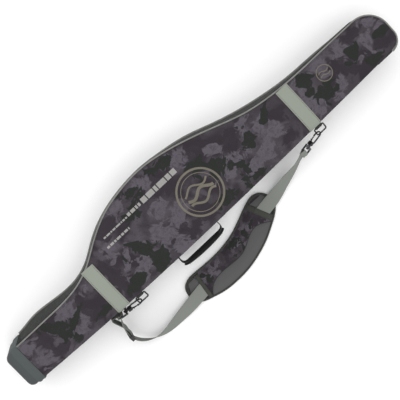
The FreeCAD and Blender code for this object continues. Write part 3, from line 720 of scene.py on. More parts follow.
def netted(name, colour, hole=0.0021):
    """A spacer mesh with rows of small holes, painted darker as shade inside them."""
    made, tree, shader = new_finish(name, 0.9, sheen=0.02, gloss=0.2)
    place = cloth_place(tree)
    holes = node(tree, "TexVoronoi", {"Vector": place, "Scale": 1 / hole, "Randomness": 0.15},
                 feature="F1").outputs["Distance"]
    wear = use(tree, "Handling wear", {"Place": place, "Scale": 30.0})
    # Painted shade: the holes are darker than the strands round them.
    open_part = step_up(tree, holes, 0.15, 0.5)
    mix = maths(tree, "ADD", maths(tree, "MULTIPLY", open_part, 0.7),
                maths(tree, "MULTIPLY", wear["Broad"], 0.3))
    tinted(tree, shader, colour, mix, 0.25, 1.5)
    bump(tree, shader, open_part, 0.8, 0.0006)
    return made


# Each finish: how it is made, its material, its colour setting, and what else sets it.
FINISHES = {
    "camo": (camouflage, "camo_cloth", None, {}),
    "camo_small": (camouflage, "camo_cloth_small", None, {"scale": 1.9}),
    "gusset": (woven, "gusset_cloth", "gusset", {"threads": 620.0}),
    "lining": (woven, "lining_cloth", "lining", {"threads": 1400.0, "sheen": 0.05}),
    "band": (ribbed, "band_webbing", "band", {"rib": 0.0026}),
    "strap": (ribbed, "strap_webbing", "strap", {}),
    "binding": (ribbed, "binding_tape", "binding", {"rib": 0.0014}),
    "black_webbing": (ribbed, "black_webbing", "black", {"rib": 0.0024}),
    "tape": (woven, "zip_tape", "zip_tape", {"threads": 900.0}),
    "piping": (moulded, "piping_vinyl", "piping", {"rough": 0.42, "grain": 700.0}),
    "cup": (moulded, "moulded_base", "cup", {"rough": 0.55, "grain": 800.0, "depth": 0.0004}),
    "collar": (moulded, "collar_vinyl", "cup", {"rough": 0.4, "grain": 600.0, "depth": 0.0006}),
    "foam": (moulded, "foam", "black", {"rough": 0.9, "grain": 1500.0, "depth": 0.0005}),
    "coil": (moulded, "zip_coil", "black", {"rough": 0.4, "grain": 900.0}),
    "metal": (moulded, "black_metal", "metal",
              {"rough": 0.3, "grain": 900.0, "metal": 0.9, "place_from": "piece"}),
    "plastic": (moulded, "black_plastic", "black",
                {"rough": 0.45, "grain": 900.0, "place_from": "piece"}),
    "mesh": (netted, "pad_mesh", "mesh", {}),
    "grip": (woven, "grip_cloth", "black", {"threads": 800.0, "sheen": 0.04}),
    "thread": (woven, "thread", "thread", {"threads": 3000.0, "bump_depth": 0.0001}),
    "print_pale": (woven, "print_pale", "print_pale",
                   {"threads": 900.0, "sheen": 0.0, "rough": 0.6}),
    "print_warm": (woven, "print_warm", "print_warm",
                   {"threads": 900.0, "sheen": 0.0, "rough": 0.6}),
}


def finish(kind):
    """The named finish in this bag's colours, made the first time it is asked for."""
    maker, name, shade, settings = FINISHES[kind]
    if name in bpy.data.materials:
        return bpy.data.materials[name]
    colours = bpy.context.scene.rod_bag_colours
    return maker(name, getattr(colours, shade) if shade else colours, **settings)


def dress(name, kind):
    """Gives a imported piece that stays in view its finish."""
    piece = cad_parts[name]
    if not piece.data.materials:
        piece.data.materials.append(finish(kind))
    for place in piece.material_slots:
        place.material = finish(kind)


# The camouflage's broad patches, listed one by one: x, y, half length, half width in
# millimetres, turn in degrees, and tone (0 light, 1 dark, 2 green).
CAMO_PATCHES = [
    (-588, 22, 26, 30, 80, 0), (-566, -28, 24, 26, 60, 0), (-540, 6, 34, 22, -40, 1),
    (-520, -30, 26, 22, 60, 1), (-505, 26, 36, 16, -35, 2), (-486, -20, 46, 13, -65, 2),
    (-472, 22, 16, 16, 0, 0), (-440, 26, 22, 20, 20, 0), (-452, -8, 34, 9, 28, 2),
    (-462, -34, 18, 14, 30, 0), (-425, -22, 24, 18, 20, 0), (-408, 18, 26, 10, 60, 1),
    (-392, -8, 22, 34, 10, 1), (-372, -40, 30, 12, 10, 2), (-372, 34, 20, 12, 30, 0),
    (-306, 40, 30, 26, 40, 1), (-300, -10, 26, 40, 15, 1), (-272, -46, 34, 16, 0, 2),
    (-262, 64, 26, 22, 40, 0), (-248, 10, 34, 10, 55, 0), (-228, -28, 34, 22, 30, 0),
    (-226, 108, 34, 20, 20, 1), (-196, 8, 40, 16, -60, 2), (-178, -40, 30, 24, 20, 2),
    (-176, 128, 26, 18, 30, 0), (-150, 92, 40, 16, 15, 2), (-136, -6, 28, 34, 70, 0),
    (-128, 132, 30, 14, -20, 2), (-112, -48, 26, 20, 10, 0), (-96, 52, 26, 22, 60, 0),
    (-84, 120, 24, 34, 30, 0), (-78, 2, 34, 22, 30, 0), (-72, -44, 30, 18, -20, 1),
    (-44, 96, 30, 30, 0, 1), (-20, 132, 34, 16, -15, 2), (-10, -30, 24, 30, 20, 1),
    (24, 112, 30, 22, -30, 0), (40, 70, 20, 26, 70, 2), (52, -46, 34, 14, 0, 2),
    (70, 96, 26, 22, -20, 1), (86, 26, 24, 44, 75, 2), (104, 70, 20, 24, 60, 0),
    (112, 12, 22, 34, 90, 0), (124, -28, 40, 12, 70, 2), (150, 58, 26, 22, 30, 1),
    (150, -36, 26, 20, 10, 0), (146, -58, 30, 9, 0, 2), (186, 20, 30, 18, 80, 2),
    (190, 60, 24, 14, 0, 0), (206, -30, 30, 26, 20, 0), (226, 36, 26, 20, -30, 0),
    (250, -6, 34, 18, 10, 0), (262, 46, 30, 10, 40, 2), (272, -44, 28, 16, 0, 1),
    (284, 24, 18, 22, 0, 1), (366, 36, 24, 18, 0, 0), (368, -24, 24, 34, 20, 0),
    (392, 26, 18, 30, -35, 2), (414, -26, 30, 24, 60, 2), (446, 30, 22, 26, 60, 0),
    (448, -36, 26, 18, 30, 0), (480, 8, 20, 34, 20, 1), (508, 34, 30, 24, -20, 0),
    (500, -18, 18, 30, 60, 1), (530, 4, 24, 14, 30, 2), (538, -20, 12, 22, 80, 0),
    (556, -42, 26, 14, 0, 2), (560, 34, 22, 20, 0, 1), (578, -4, 16, 34, 20, 0),
    (608, 30, 24, 18, -45, 0), (606, -30, 20, 22, 60, 1), (622, -6, 9, 34, 85, 2),
    (632, 12, 14, 12, 0, 0),
]


def patch_fields(places, scale=1.0, offset=(0.0, 0.0)):
    """How far inside a light, dark or green patch each level place is, from 0 to 1."""
    places = (np.asarray(places, float) / MM - np.array(offset)) / scale
    fields = np.full((len(places), 3), -1.0)
    for x, y, length, width, turn, tone in CAMO_PATCHES:
        c, s = math.cos(math.radians(turn)), math.sin(math.radians(turn))
        dx, dy = places[:, 0] - x, places[:, 1] - y
        reach = np.hypot((dx * c + dy * s) / length, (dy * c - dx * s) / width)
        fields[:, tone] = np.maximum(fields[:, tone], 1 - reach)
    return np.clip(fields * 0.5 + 0.5, 0, 1)


def lay_print(piece, unfold=None, **layout):
    """Stores the camouflage's patches on a piece."""
    mesh = piece.data
    places = np.zeros(len(mesh.vertices) * 3)
    mesh.vertices.foreach_get("co", places)
    places = places.reshape(-1, 3)
    flat = unfold(places) if unfold else places[:, :2]
    fields = patch_fields(flat, **layout)
    layer = mesh.attributes.new("patches", "FLOAT_COLOR", "POINT")
    colours = np.column_stack([fields, np.ones(len(fields))]).astype(np.float32)
    layer.data.foreach_set("color", colours.ravel())


# ---------------------------------------------------------------- the case


def panel_grid(edge, side, inset, start=SHELL_START, across=36):
    """Level points over a panel, from the spine to the zip side at each place along it."""
    corner = (TIP_X - TIP_ROUND) * MM
    x = np.linspace(start * MM, corner, 190)
    top = np.column_stack([x, zip_side_at(x, side)])
    foot = np.column_stack([x, spine_at(x)])
    tip = arc((TIP_X - TIP_ROUND, edge[-1][1] - TIP_ROUND), TIP_ROUND, 90, 0, 22) * MM
    heel_x = np.linspace(corner, (TIP_X - HEEL_ROUND) * MM, 8)
    heel = np.vstack([
        np.column_stack([heel_x, spine_at(heel_x)]),
        arc((TIP_X - HEEL_ROUND, HEEL_Y + HEEL_ROUND), HEEL_ROUND, -90, 0, 24)[1:] * MM,
    ])
    top = beside(np.vstack([top, tip[1:]]), inset)
    foot = beside(np.vstack([foot, evenly(heel, count=22)[1:]]), -inset)
    share = (0.5 - 0.5 * np.cos(np.linspace(0, math.pi, across)))[None, :, None]
    grid = foot[:, None] * (1 - share) + top[:, None] * share
    grid[0, :, 0] = start * MM
    return grid


def make_front_panel():
    """The lid's padded face."""
    outer = panel_grid(FRONT_EDGE, "front", 0, start=SHELL_START + 1)
    inner = panel_grid(FRONT_EDGE, "front", 0.0045, start=SHELL_START + 1)
    cut = Cut()
    cut.shell(raised(outer, over_grid(outer, front_height)),
              raised(inner, (BAG_DEPTH - 6.3) * MM), 0, 1, cloth=outer)
    panel = sew("front_panel_cloth", cut, [finish("camo"), finish("lining")], "lid",
                crisp=60)
    lay_print(panel)
    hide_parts("front_panel")


def rear_height(places):
    """The height of the rear panel's outer face, which the bag lies on."""
    free = away_from(places, REAR_RUN)
    spine = places[:, 1] - spine_at(places[:, 0])
    grooves = sum(
        1 - ease((np.abs(places[:, 0] - at * MM) - 0.0195) / 0.003) for at in BAND_PLACES.values())
    base = 0.0003 + 0.0013 * grooves
    return base + rounding(spine, 0.005) + rounding(free, 0.0035)


def make_back_panel():
    """The rear panel, which the bag lies on."""
    outer = panel_grid(REAR_EDGE, "rear", 0)
    inner = panel_grid(REAR_EDGE, "rear", 0.0045)
    cut = Cut()
    cut.shell(raised(outer, over_grid(outer, rear_height)), raised(inner, 0.0062), 0, 1,
              cloth=outer)
    panel = sew("back_panel_cloth", cut, [finish("camo"), finish("lining")], "case",
                crisp=60)
    lay_print(panel, offset=(70, 12), scale=1.05)
    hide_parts("back_panel")


def make_spine_cloth():
    """The padded spine, whose cloth is also the lid's hinge."""
    x = np.linspace(SHELL_START, ZIP_END, 155) * MM
    z = np.concatenate([
        np.linspace(0.0045, 0.100, 13), np.linspace(0.103, 0.121, 13)])
    bulge = np.sin(np.clip((z - 0.0045) / 0.11, 0, 1) * math.pi)
    xs, zs = np.meshgrid(x, z, indexing="ij")
    waves = ripple(np.column_stack([xs.ravel(), zs.ravel()]), 14, 9).reshape(xs.shape)
    outer_y = spine_at(xs) - 0.0004 - (0.0008 + 0.0005 * waves) * bulge
    inner_y = spine_at(xs) + 0.0048
    cut = Cut()
    cut.shell(np.dstack([xs, outer_y, zs]), np.dstack([xs, inner_y, zs]), 0, 1,
              cloth=np.dstack([xs, zs]))
    spine = sew("spine_cloth", cut, [finish("camo"), finish("lining")], None,
                crisp=60)
    lay_print(spine, unfold=lambda p: np.column_stack(
        [p[:, 0], spine_at(p[:, 0]) - (BAG_DEPTH * MM - p[:, 2])]), offset=(0, -130))
    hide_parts("spine_panel")
    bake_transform(spine)


def gusset_wall(low_run, high_run, low, high, seed, wall=0.0038, puff=0.0014):
    """The grids of a side wall's outer and inner faces between two heights."""
    rows = 9
    share = np.linspace(0, 1, rows)
    flat = low_run[:, None] * (1 - share)[None, :, None] + high_run[:, None] * share[None, :, None]
    heights = np.broadcast_to(low + (high - low) * share, flat.shape[:2])
    out = outward(high_run)
    marks = distances(high_run)
    u, v = np.meshgrid(marks, share, indexing="ij")
    waves = ripple(np.column_stack([u.ravel(), v.ravel() * 0.03]), 16, seed)
    swell = (puff * (1 + 0.9 * waves.reshape(u.shape))) * np.sin(share * math.pi)[None]
    outer = np.dstack([flat + out[:, None] * swell[..., None], heights])
    inner = np.dstack([flat - out[:, None] * wall, heights])
    cloth = np.dstack([u, low + (high - low) * v])
    return outer, inner, cloth


def make_gussets():
    """The woven side walls round the zip side and the tip, one on each half of the bag."""
    count = 380
    rear_low = evenly(free_run(REAR_EDGE, end=ZIP_END), count=count)
    rear_high = evenly(free_run(FRONT_EDGE, end=ZIP_END), count=count)
    front = evenly(free_run(FRONT_EDGE, start=SHELL_START + 1, end=LID_ZIP_END), count=count)
    for label, low_run, high_run, low, high, body, node_name, seed in (
        ("rear_gusset_cloth", rear_low, rear_high, 0.0035, 0.0672, "case", "rear_gusset", 2.0),
        ("front_gusset_cloth", front, front, 0.0728, 0.1262, "lid", "front_gusset", 7.0),
    ):
        outer, inner, cloth = gusset_wall(low_run, high_run, low, high, seed)
        cut = Cut()
        cut.shell(outer, inner, 0, 1, cloth=cloth)
        wall = sew(label, cut, [finish("gusset"), finish("lining")], body,
                   crisp=60)
        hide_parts(node_name)


def level_tube(cut, run, height, profile, finish_number=0, closed=False):
    """Carries a (outwards, up) profile along a level run at a height."""
    out = np.column_stack([outward(run, closed), np.zeros(len(run))])
    line = np.column_stack([run, np.broadcast_to(height, len(run))])
    cut.tube(line, out, np.broadcast_to([0.0, 0.0, 1.0], line.shape), profile,
             finish=finish_number, closed=closed)


def make_piping():
    """Vinyl piping in the seams between the panels and the side walls."""
    radius = bpy.context.scene.rod_bag_case.piping_radius
    for label, edge, start, height, body, node_name in (
        ("front_piping_cord", FRONT_EDGE, SHELL_START + 1, 0.1278, "lid", "front_piping"),
        ("rear_piping_cord", REAR_EDGE, SHELL_START, 0.0025, "case", "rear_piping"),
    ):
        run = free_run(edge, start=start, step=4)
        cut = Cut()
        level_tube(cut, beside(run, -0.0018), height, oval(radius, radius, count=10))
        flange = 1 if height > 0.06 else -1
        level_tube(cut, beside(run, 0.0004), height - 0.0012 * flange,
                   oval(0.0022, 0.0009, 3, 10))
        thread = np.column_stack([beside(run, 0.0042), np.full(len(run), 0)])
        thread[:, 2] = over_grid(thread[None, :, :2], front_height if flange > 0 else rear_height)
        stitches(cut, thread, (0, 0, flange), finish=1)
        cord = sew(label, cut, [finish("piping"), finish("thread")], body)
        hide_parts(node_name)


def zip_teeth(cut, run, height, shift, finish_number):
    """A half of the coil: small teeth that reach past the zip's middle line."""
    pitch = 0.0024
    marks = distances(run)
    spots = np.arange(0.004 + shift * pitch, marks[-1] - 0.003, pitch)
    places = np.column_stack([np.interp(spots, marks, part) for part in run.T])
    along = directions(places)
    out = outward(places)
    reach = 0.0014 if shift else -0.0014
    for p, t, n in zip(places, along, out):
        ring = []
        for rise, half, lift in ((0.0, 0.0006, 0.0), (0.5, 0.00062, 0.0004), (1.0, 0.0004, 0.0001)):
            for a, b in ((-1, -0.0009), (1, -0.0009), (1, 0.0004 + lift), (-1, 0.0004 + lift)):
                spot = p + t * half * a + n * b
                ring.append((spot[0], spot[1], height + reach * (rise * 2.4 - 1.2)))
        grid = np.array(ring).reshape(3, 4, 3)
        cut.lay(grid, finish=finish_number, around=True)
        cut.close(grid[0], finish=finish_number)
        cut.close(grid[-1], finish=finish_number)


def make_zip():
    """The zip's two tapes and coils, and the patch past its end."""
    rear = free_run(FRONT_EDGE, end=ZIP_END, step=3)
    front = free_run(FRONT_EDGE, start=SHELL_START + 1, end=LID_ZIP_END, step=3)
    for label, run, low, high, teeth, body, node_name in (
        ("rear_zip_half", rear, 0.0585, 0.0690, 0.0694, "case", "zip_chain_rear"),
        ("lid_zip_half", front, 0.0710, 0.0815, 0.0706, "lid", "zip_chain_lid"),
    ):
        cut = Cut()
        middle, half = (low + high) / 2, (high - low) / 2
        level_tube(cut, beside(run, -0.0006), middle, oval(0.0009, half, 5, 12))
        seam = low + 0.0022 if body == "case" else high - 0.0022
        out = np.column_stack([beside(run, -0.0016), np.full(len(run), seam)])
        facing = np.column_stack([outward(run), np.zeros(len(run))])
        stitches(cut, out, facing, length=0.003, gap=0.0014, finish=2)
        zip_teeth(cut, beside(run, 0.0002), teeth, 0.5 * (body == "lid"), 1)
        half_zip = sew(label, cut, [finish("tape"), finish("coil"), finish("thread")], body)
        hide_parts(node_name)
    x = np.linspace(ZIP_END + 0.4, LID_ZIP_END - 0.9, 10) * MM
    z = np.linspace(0.0725, 0.1112, 9)
    xs, zs = np.meshgrid(x, z, indexing="ij")
    swell = 0.0008 * np.sin((zs - z[0]) / (z[-1] - z[0]) * math.pi)
    cut = Cut()
    cut.shell(np.dstack([xs, spine_at(xs) - 0.0002 - swell, zs]),
              np.dstack([xs, spine_at(xs) + 0.0036, zs]), 0, 1, cloth=np.dstack([xs, zs]))
    frame_line = np.array([(x[0] + 0.003, z[0] + 0.003), (x[-1] - 0.003, z[0] + 0.003),
                           (x[-1] - 0.003, z[-1] - 0.003), (x[0] + 0.003, z[-1] - 0.003)])
    for a, b in zip(frame_line, np.roll(frame_line, -1, 0)):
        row = evenly([a, b], count=12)
        line = np.column_stack([row[:, 0], spine_at(row[:, 0]) - 0.0008, row[:, 1]])
        stitches(cut, line, (0, -1, 0), finish=2)
    patch = sew("zip_end_cover", cut, [finish("gusset"), finish("lining"), finish("thread")],
                "case")
    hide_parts("zip_end_patch")


def rounded_ring(y_from, y_to, z_from, z_to, radius, lean=0.0, count=7):
    """Points round a rounded section across the bag, its zip side leaning out to its foot."""
    corners = [(y_to - radius, z_to - radius, 0), (y_from + radius, z_to - radius, 90),
               (y_from + radius, z_from + radius, 180), (y_to - radius, z_from + radius, 270)]
    parts = [arc((y, z), radius, start, start + 90, count) for y, z, start in corners]
    ring = evenly(np.vstack(parts + [parts[0][:1]]), count=97)[:-1]
    share = np.clip((ring[:, 0] + 12) / (y_to + 12), 0, 1)
    ring[:, 0] += lean * (1 - ring[:, 1] / BAG_DEPTH) * share
    return ring


def make_base():
    """The moulded base cup with its folded collar and its foot."""
    low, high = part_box("base_cup")
    y0, y1, z0, z1 = low.y / MM, FRONT_EDGE[0][1] + 3, low.z / MM, high.z / MM
    lean = high.y / MM - y1
    end = high.x / MM
    rows = [(low.x / MM + CUP_ROUND * (1 - math.cos(t)), CUP_ROUND * (1 - math.sin(t)))
            for t in np.radians(np.linspace(0, 90, 9))]
    rows += [(x, 0.0) for x in (-631, -627, -622, -612, end)]
    outer, inner = [], []
    for x, inset in rows:
        draw_in = (end - x) / (end - low.x / MM)
        ring = rounded_ring(y0 + inset + 2.2 * draw_in, y1 - inset - 3 * draw_in,
                            z0 + inset, z1 - inset, max(CUP_ROUND - inset, 3), lean)
        outer.append([(x, y, z) for y, z in ring])
    for x, inset in ((end, 4), (-620, 4), (-632, 5), (-641, 8), (-645.9, 15)):
        ring = rounded_ring(y0 + inset + 2, y1 - inset - 3, z0 + inset, z1 - inset, 10, lean)
        inner.append([(x, y, z) for y, z in ring])
    outer, inner = np.array(outer) * MM, np.array(inner) * MM
    cut = Cut()
    cut.lay(outer, around=True)
    cut.lay(np.stack([outer[-1], inner[0]]), around=True)
    cut.lay(inner, around=True)
    for ring, depth in ((outer[0], 0.0007), (inner[-1], 0.0)):
        middle = ring.mean(0)
        steps = [ring + (middle - ring) * t for t in (0, 0.12, 0.2, 0.5, 0.94)]
        lifts = (0, 0, depth, depth, depth)
        grid = np.array([s + np.array([lift, 0, 0]) for s, lift in zip(steps, lifts)])
        cut.lay(grid, around=True)
        cut.close(grid[-1])
    cup = sew("moulded_base_cup", cut, [finish("cup")], "case", crisp=50)
    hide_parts("base_cup")
    rows = [(-626.4, 0.1), (-625.4, 1.4), (-622.5, 2.4), (-619, 2.8), (-616.5, 2.0),
            (-614, 2.5), (-610.5, 3.0), (-607.5, 2.6), (-605.5, 2.2), (-604.3, 1.0)]
    rings = []
    for n, (x, proud) in enumerate(rows):
        ring = rounded_ring(y0 - 0.1, y1 + 0.1, z0 + 0.2, z1 + 0.1, CUP_ROUND, lean)
        out = -outward(ring, closed=True)
        face = np.clip((ring[:, 1] - (z1 - FACE_FADE)) / FACE_FADE, 0, 1)
        face += np.clip((FACE_FADE - ring[:, 1]) / FACE_FADE, 0, 1)
        pucker = 1 + 0.35 * ripple(np.column_stack([ring * 0.03, np.full(len(ring), n * 0.35)]), 6)
        lift = (proud * pucker * (1 - 0.93 * np.clip(face, 0, 1)))[:, None]
        rings.append(np.column_stack([np.full(len(ring), x), ring + out * lift]))
    inside = [np.column_stack([np.full(len(ring), x), ring]) for x in (-604.8, -626)]
    grid = np.array(rings + inside) * MM
    cut = Cut()
    cut.lay(grid, around=True, loop=True)
    collar = sew("folded_collar", cut, [finish("collar")], "case", crisp=80)
    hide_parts("cup_collar")
    low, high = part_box("butt_pad")
    x = np.linspace(low.x, high.x, 6)
    rings = []
    for place, inset in zip(x, (0.0, 0.0, 0.2, 0.6, 1.4, 3.2)):
        ring = rounded_ring(low.y / MM + inset, high.y / MM - inset, low.z / MM + inset,
                            high.z / MM - inset, 6)
        rings.append(np.column_stack([np.full(len(ring), place / MM), ring]) * MM)
    cut = Cut()
    cut.lay(np.array(rings), around=True)
    cut.close(rings[0])
    middle = rings[-1].mean(0)
    top = np.array([rings[-1] + (middle - rings[-1]) * t for t in (0, 0.3, 0.6, 0.95)])
    cut.lay(top, around=True)
    cut.close(top[-1])
    foot = sew("butt_foam", cut, [finish("foam")], "case", crisp=60)
    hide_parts("butt_pad")


def make_dividers():
    """Two padded leaves and the touch straps that hold the rods on each level."""
    x = np.linspace(SHELL_START + 8, 545, 150) * MM
    share = 0.5 - 0.5 * np.cos(np.linspace(0, math.pi, 26))
    low, high = spine_at(x) + 0.011, zip_side_at(x) - 0.011
    ys = low[:, None] * (1 - share) + high[:, None] * share
    flat = np.dstack([np.broadcast_to(x[:, None], ys.shape), ys])
    edge = rim(flat)
    for label, body, level in (("divider_lower", "lower_leaf", 0.04467),
                               ("divider_upper", "upper_leaf", 0.08533)):
        away = away_from(flat.reshape(-1, 2), np.vstack([edge, edge[:1]])).reshape(ys.shape)
        quilt = np.abs(np.sin(flat[..., 0] * math.pi / 0.14))
        puff = 0.0012 * ease(away / 0.01) * (0.55 + 0.45 * ease(quilt * 3)) + 0.0008
        cut = Cut()
        cut.shell(raised(flat, level + puff), raised(flat, level - puff), 0, 0, cloth=flat)
        loop = beside(evenly(np.vstack([edge, edge[:1]]), 0.006)[:-1], 0, closed=True)
        level_tube(cut, loop, level, oval(0.0009, 0.0019, 3, 10), 1, closed=True)
        for side in (1, -1):
            seam = np.column_stack([beside(loop, 0.003, closed=True),
                                    np.full(len(loop), level + side * 0.0013)])
            stitches(cut, seam, (0, 0, side), length=0.004, gap=0.002, finish=2)
        leaf = sew(label + "_leaf", cut, [finish("lining"), finish("binding"), finish("thread")],
                   body, crisp=60)
        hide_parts(label)
    for label, body in (("rod_straps_rear", "case"), ("rod_straps_lower", "lower_leaf"),
                        ("rod_straps_upper", "upper_leaf")):
        low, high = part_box(label)
        cut = Cut()
        for at in ROD_STRAP_PLACES:
            y = np.array([low.y, low.y + 0.012, low.y + 0.03, 0.0, high.y - 0.03,
                          high.y - 0.012, high.y])
            rise = np.array([0.0007, 0.0007, 0.0011, 0.0012, 0.0011, 0.0007, 0.0007])
            line = smooth_line(np.column_stack([np.full(7, at), y, low.z + rise]) / MM, 3) * MM
            ribbon(cut, line, (1, 0, 0), 0.025, 0.0011)
            flap = smooth_line([(at / MM, -14, low.z / MM + 1.75), (at / MM, 4, low.z / MM + 1.8),
                                (at / MM, 24, low.z / MM + 1.7)], 3) * MM
            ribbon(cut, flap, (1, 0, 0), 0.0225, 0.0008, finish=1)
            for end in (low.y + 0.004, high.y - 0.004):
                row = [(at - 0.010, end, low.z + 0.0013), (at + 0.010, end, low.z + 0.0013)]
                stitches(cut, evenly(row, count=9), (0, 0, 1), finish=2)
        straps = sew(label + "_webbing", cut,
                     [finish("black_webbing"), finish("strap"), finish("thread")], body)
        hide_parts(label)


def along_surface(points, lift, step=2.5):
    """A line across the bag in y and z, lifted off what it lies on, as points at x = 0."""
    line = evenly(np.array(points, float), step * MM)
    return line + outward(line) * lift


def make_bands():
    """The webbing bands: over the lid's face, down the spine and under the rear panel."""
    sizes = bpy.context.scene.rod_bag_case
    width, thick = sizes.band_width, 0.0014
    for place, at in BAND_PLACES.items():
        x = at * MM
        spine = float(spine_at(x))
        y = np.linspace(float(zip_side_at(x)) - 0.0006, spine, 90)
        z = front_height(np.column_stack([np.full(len(y), x), y]))
        front = np.column_stack([y, z])
        front = np.vstack([front, [(spine - 0.0002, 0.1205)]])
        line = along_surface(front[::-1], thick * 0.55)[::-1]
        line3 = np.column_stack([np.full(len(line), x), line])
        cut = Cut()
        ribbon(cut, line3, (1, 0, 0), width, thick)
        for side in (-1, 1):
            row = line3[1:-1] + np.array([side * (width / 2 - 0.003), 0, 0])
            normal = np.gradient(line3[1:-1], axis=0)
            normal = np.column_stack([np.zeros(len(row)), normal[:, 2], -normal[:, 1]])
            normal = normal / np.linalg.norm(normal, axis=1)[:, None]
            normal = normal * np.sign(normal[:, 2:3] - normal[:, 1:2] + 1e-9)
            stitches(cut, row + normal * thick * 0.5, normal, finish=1)
        band = sew(f"{place}_front_band", cut, [finish("band"), finish("thread")], "lid",
                   crisp=50)
        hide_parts(f"{place}_band_front")
        rear_top = float(zip_side_at(x, "rear")) - 0.004
        face = spine - 0.0014
        back = [(face, 0.1195), (face - 0.0007, 0.09), (face - 0.0009, 0.06),
                (face - 0.0007, 0.03), (face, 0.010), (face + 0.0006, 0.0045),
                (face + 0.0035, 0.0014), (face + 0.008, 0.0008), (0.0, 0.0008), (rear_top, 0.0008)]
        line = evenly(np.array(back), 0.0025)
        line3 = np.column_stack([np.full(len(line), x), line])
        cut = Cut()
        ribbon(cut, line3, (1, 0, 0), width, thick)
        band = sew(f"{place}_rear_band", cut, [finish("band")], None, crisp=50)
        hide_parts(f"{place}_band_rear")
        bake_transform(band)


def make_ring_tabs():
    """The webbing tabs that hold the two rings on the spine."""
    bar_y, bar_z = RING_BAR
    for place, at in RING_PLACES.items():
        foot = float(spine_at(at * MM)) / MM - (2.6 if place == "upper" else 1.1)
        path = smooth_line([
            (foot - 0.8, bar_z + 16), (foot - 0.8, bar_z + 9), (foot - 2.2, bar_z + 4.4),
            (bar_y, bar_z + 3.3), (bar_y - 3.3, bar_z), (bar_y, bar_z - 3.3),
            (foot - 2.2, bar_z - 4.4), (foot - 0.8, bar_z - 9), (foot - 0.8, bar_z - 22)], 1)
        line = np.column_stack([np.full(len(path), at), path]) * MM
        cut = Cut()
        ribbon(cut, line, (1, 0, 0), 0.020, 0.0015)
        for low, high in ((bar_z - 21, bar_z - 10), (bar_z + 9.5, bar_z + 15)):
            for ends in (((-8, low), (8, low)), ((-8, high), (8, high)), ((-8, low), (8, high)),
                         ((8, low), (-8, high)), ((-8, low), (-8, high)), ((8, low), (8, high))):
                row = [(at + dx, foot - 1.7, z) for dx, z in ends]
                stitches(cut, evenly(np.array(row) * MM, count=6), (0, -1, 0), length=0.0024,
                         gap=0.001, finish=1)
        tab = sew(f"{place}_ring_loop", cut, [finish("black_webbing"), finish("thread")], "case")
        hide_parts(f"{place}_ring_tab")
        dress(f"{place}_ring", "metal")


def make_hooks():
    """The swivel hooks, their gates and loops, and the strap's adjuster."""
    for place in ("lower", "upper"):
        for part in ("hook", "hook_gate", "swivel_loop"):
            dress(f"{place}_{part}", "metal")
    dress("strap_adjuster", "plastic")


def make_slider():
    """The zip's slider and its pull."""
    dress("zip_slider", "metal")
    dress("zip_pull", "metal")


# ---------------------------------------------------------------- the strap and its pad


def loop_stand(place):
    """Where a swivel loop stands, in metres."""
    base, heading, roll, _ = LOOP_STANDS[place]
    return (Matrix.Translation(Vector(base) * MM) @ Matrix.Rotation(math.radians(heading), 4, "Z")
            @ Matrix.Rotation(math.radians(roll), 4, "X"))


def webbing_run(place, stations):
    """A webbing's middle line and width directions, from its loop to the pad."""
    stand, side = loop_stand(place), LOOP_STANDS[place][3]
    turned = stand.to_3x3()
    points = [tuple(stand @ Vector((-0.0212, 0, 0)))]
    across = [tuple(turned @ Vector((0, side, 0)))]
    level_points = [np.array(s[:3]) * MM for s in stations]
    for n, station in enumerate(stations):
        a = level_points[max(n - 1, 0)]
        b = level_points[min(n + 1, len(stations) - 1)]
        along = Vector(b - a).normalized()
        level = Vector((0, 0, 1)).cross(along).normalized()
        rise = along.cross(level)
        roll = math.radians(station[3])
        across.append(tuple(level * math.cos(roll) + rise * math.sin(roll)))
        points.append(tuple(level_points[n]))
    line = smooth_line(np.array(points) / MM, 3) * MM
    marks = distances(line)
    stops = [marks[np.linalg.norm(line - p, axis=1).argmin()] for p in np.array(points)]
    wide = np.column_stack([np.interp(marks, stops, part) for part in np.array(across).T])
    return line, wide / np.linalg.norm(wide, axis=1)[:, None]


def make_strap():
    """Both runs of the strap's webbing, each turned round its swivel loop."""
    sizes = bpy.context.scene.rod_bag_strap
    for place, stations in (("lower", LOWER_WEBBING), ("upper", UPPER_WEBBING)):
        line, wide = webbing_run(place, stations)
        cut = Cut()
        ribbon(cut, line, wide, sizes.webbing_width, sizes.webbing_thick)
        stand = loop_stand(place)
        turn = smooth_line([
            (-31, 0, 1.5), (-26, 0, 2.0), (-21, 0, 3.4), (-17, 0, 3.3), (-14.7, 0, 0),
            (-17, 0, -3.3), (-21, 0, -3.4), (-26, 0, -2.0), (-31, 0, -1.5)], 1.2) * MM
        placed = np.array([tuple(stand @ Vector(p)) for p in turn])
        wide_way = tuple(stand.to_3x3() @ Vector((0, 1, 0)))
        ribbon(cut, placed, wide_way, sizes.webbing_width - 0.001, 0.0015)
        if place == "lower":
            doubled = np.array([tuple(stand @ (Vector(p) * MM)) for p in (
                (-24, 0, -3.2), (-32, 0, -6.5), (-42, 0, -8.5))])
            adjuster = np.array(LOWER_WEBBING[2][:3]) * MM
            down = np.vstack([doubled, [line[12] * 0.6 + adjuster * 0.4 + np.array(
                [0.004, 0.001, 0])], [adjuster + np.array([0.0016, 0, 0])]])
            path = smooth_line(down / MM, 2.5) * MM
            spread = np.linspace(0, 1, len(path))[:, None]
            first = np.array(wide_way)
            last = wide[np.linalg.norm(line - adjuster, axis=1).argmin()]
            ways = first * (1 - spread) + last * spread
            ribbon(cut, path, ways, sizes.webbing_width - 0.001, 0.0015)
        webbing = sew(f"{place}_strap_webbing", cut, [finish("strap")], "strap",
                      crisp=60)
        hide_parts(f"{place}_webbing")


def pad_outline(inset=0.0, step=3):
    """The pad's closed outline, moved in by inset."""
    line = smooth_line(PAD_EDGE, step, closed=True) * MM
    return beside(line, inset, closed=True)


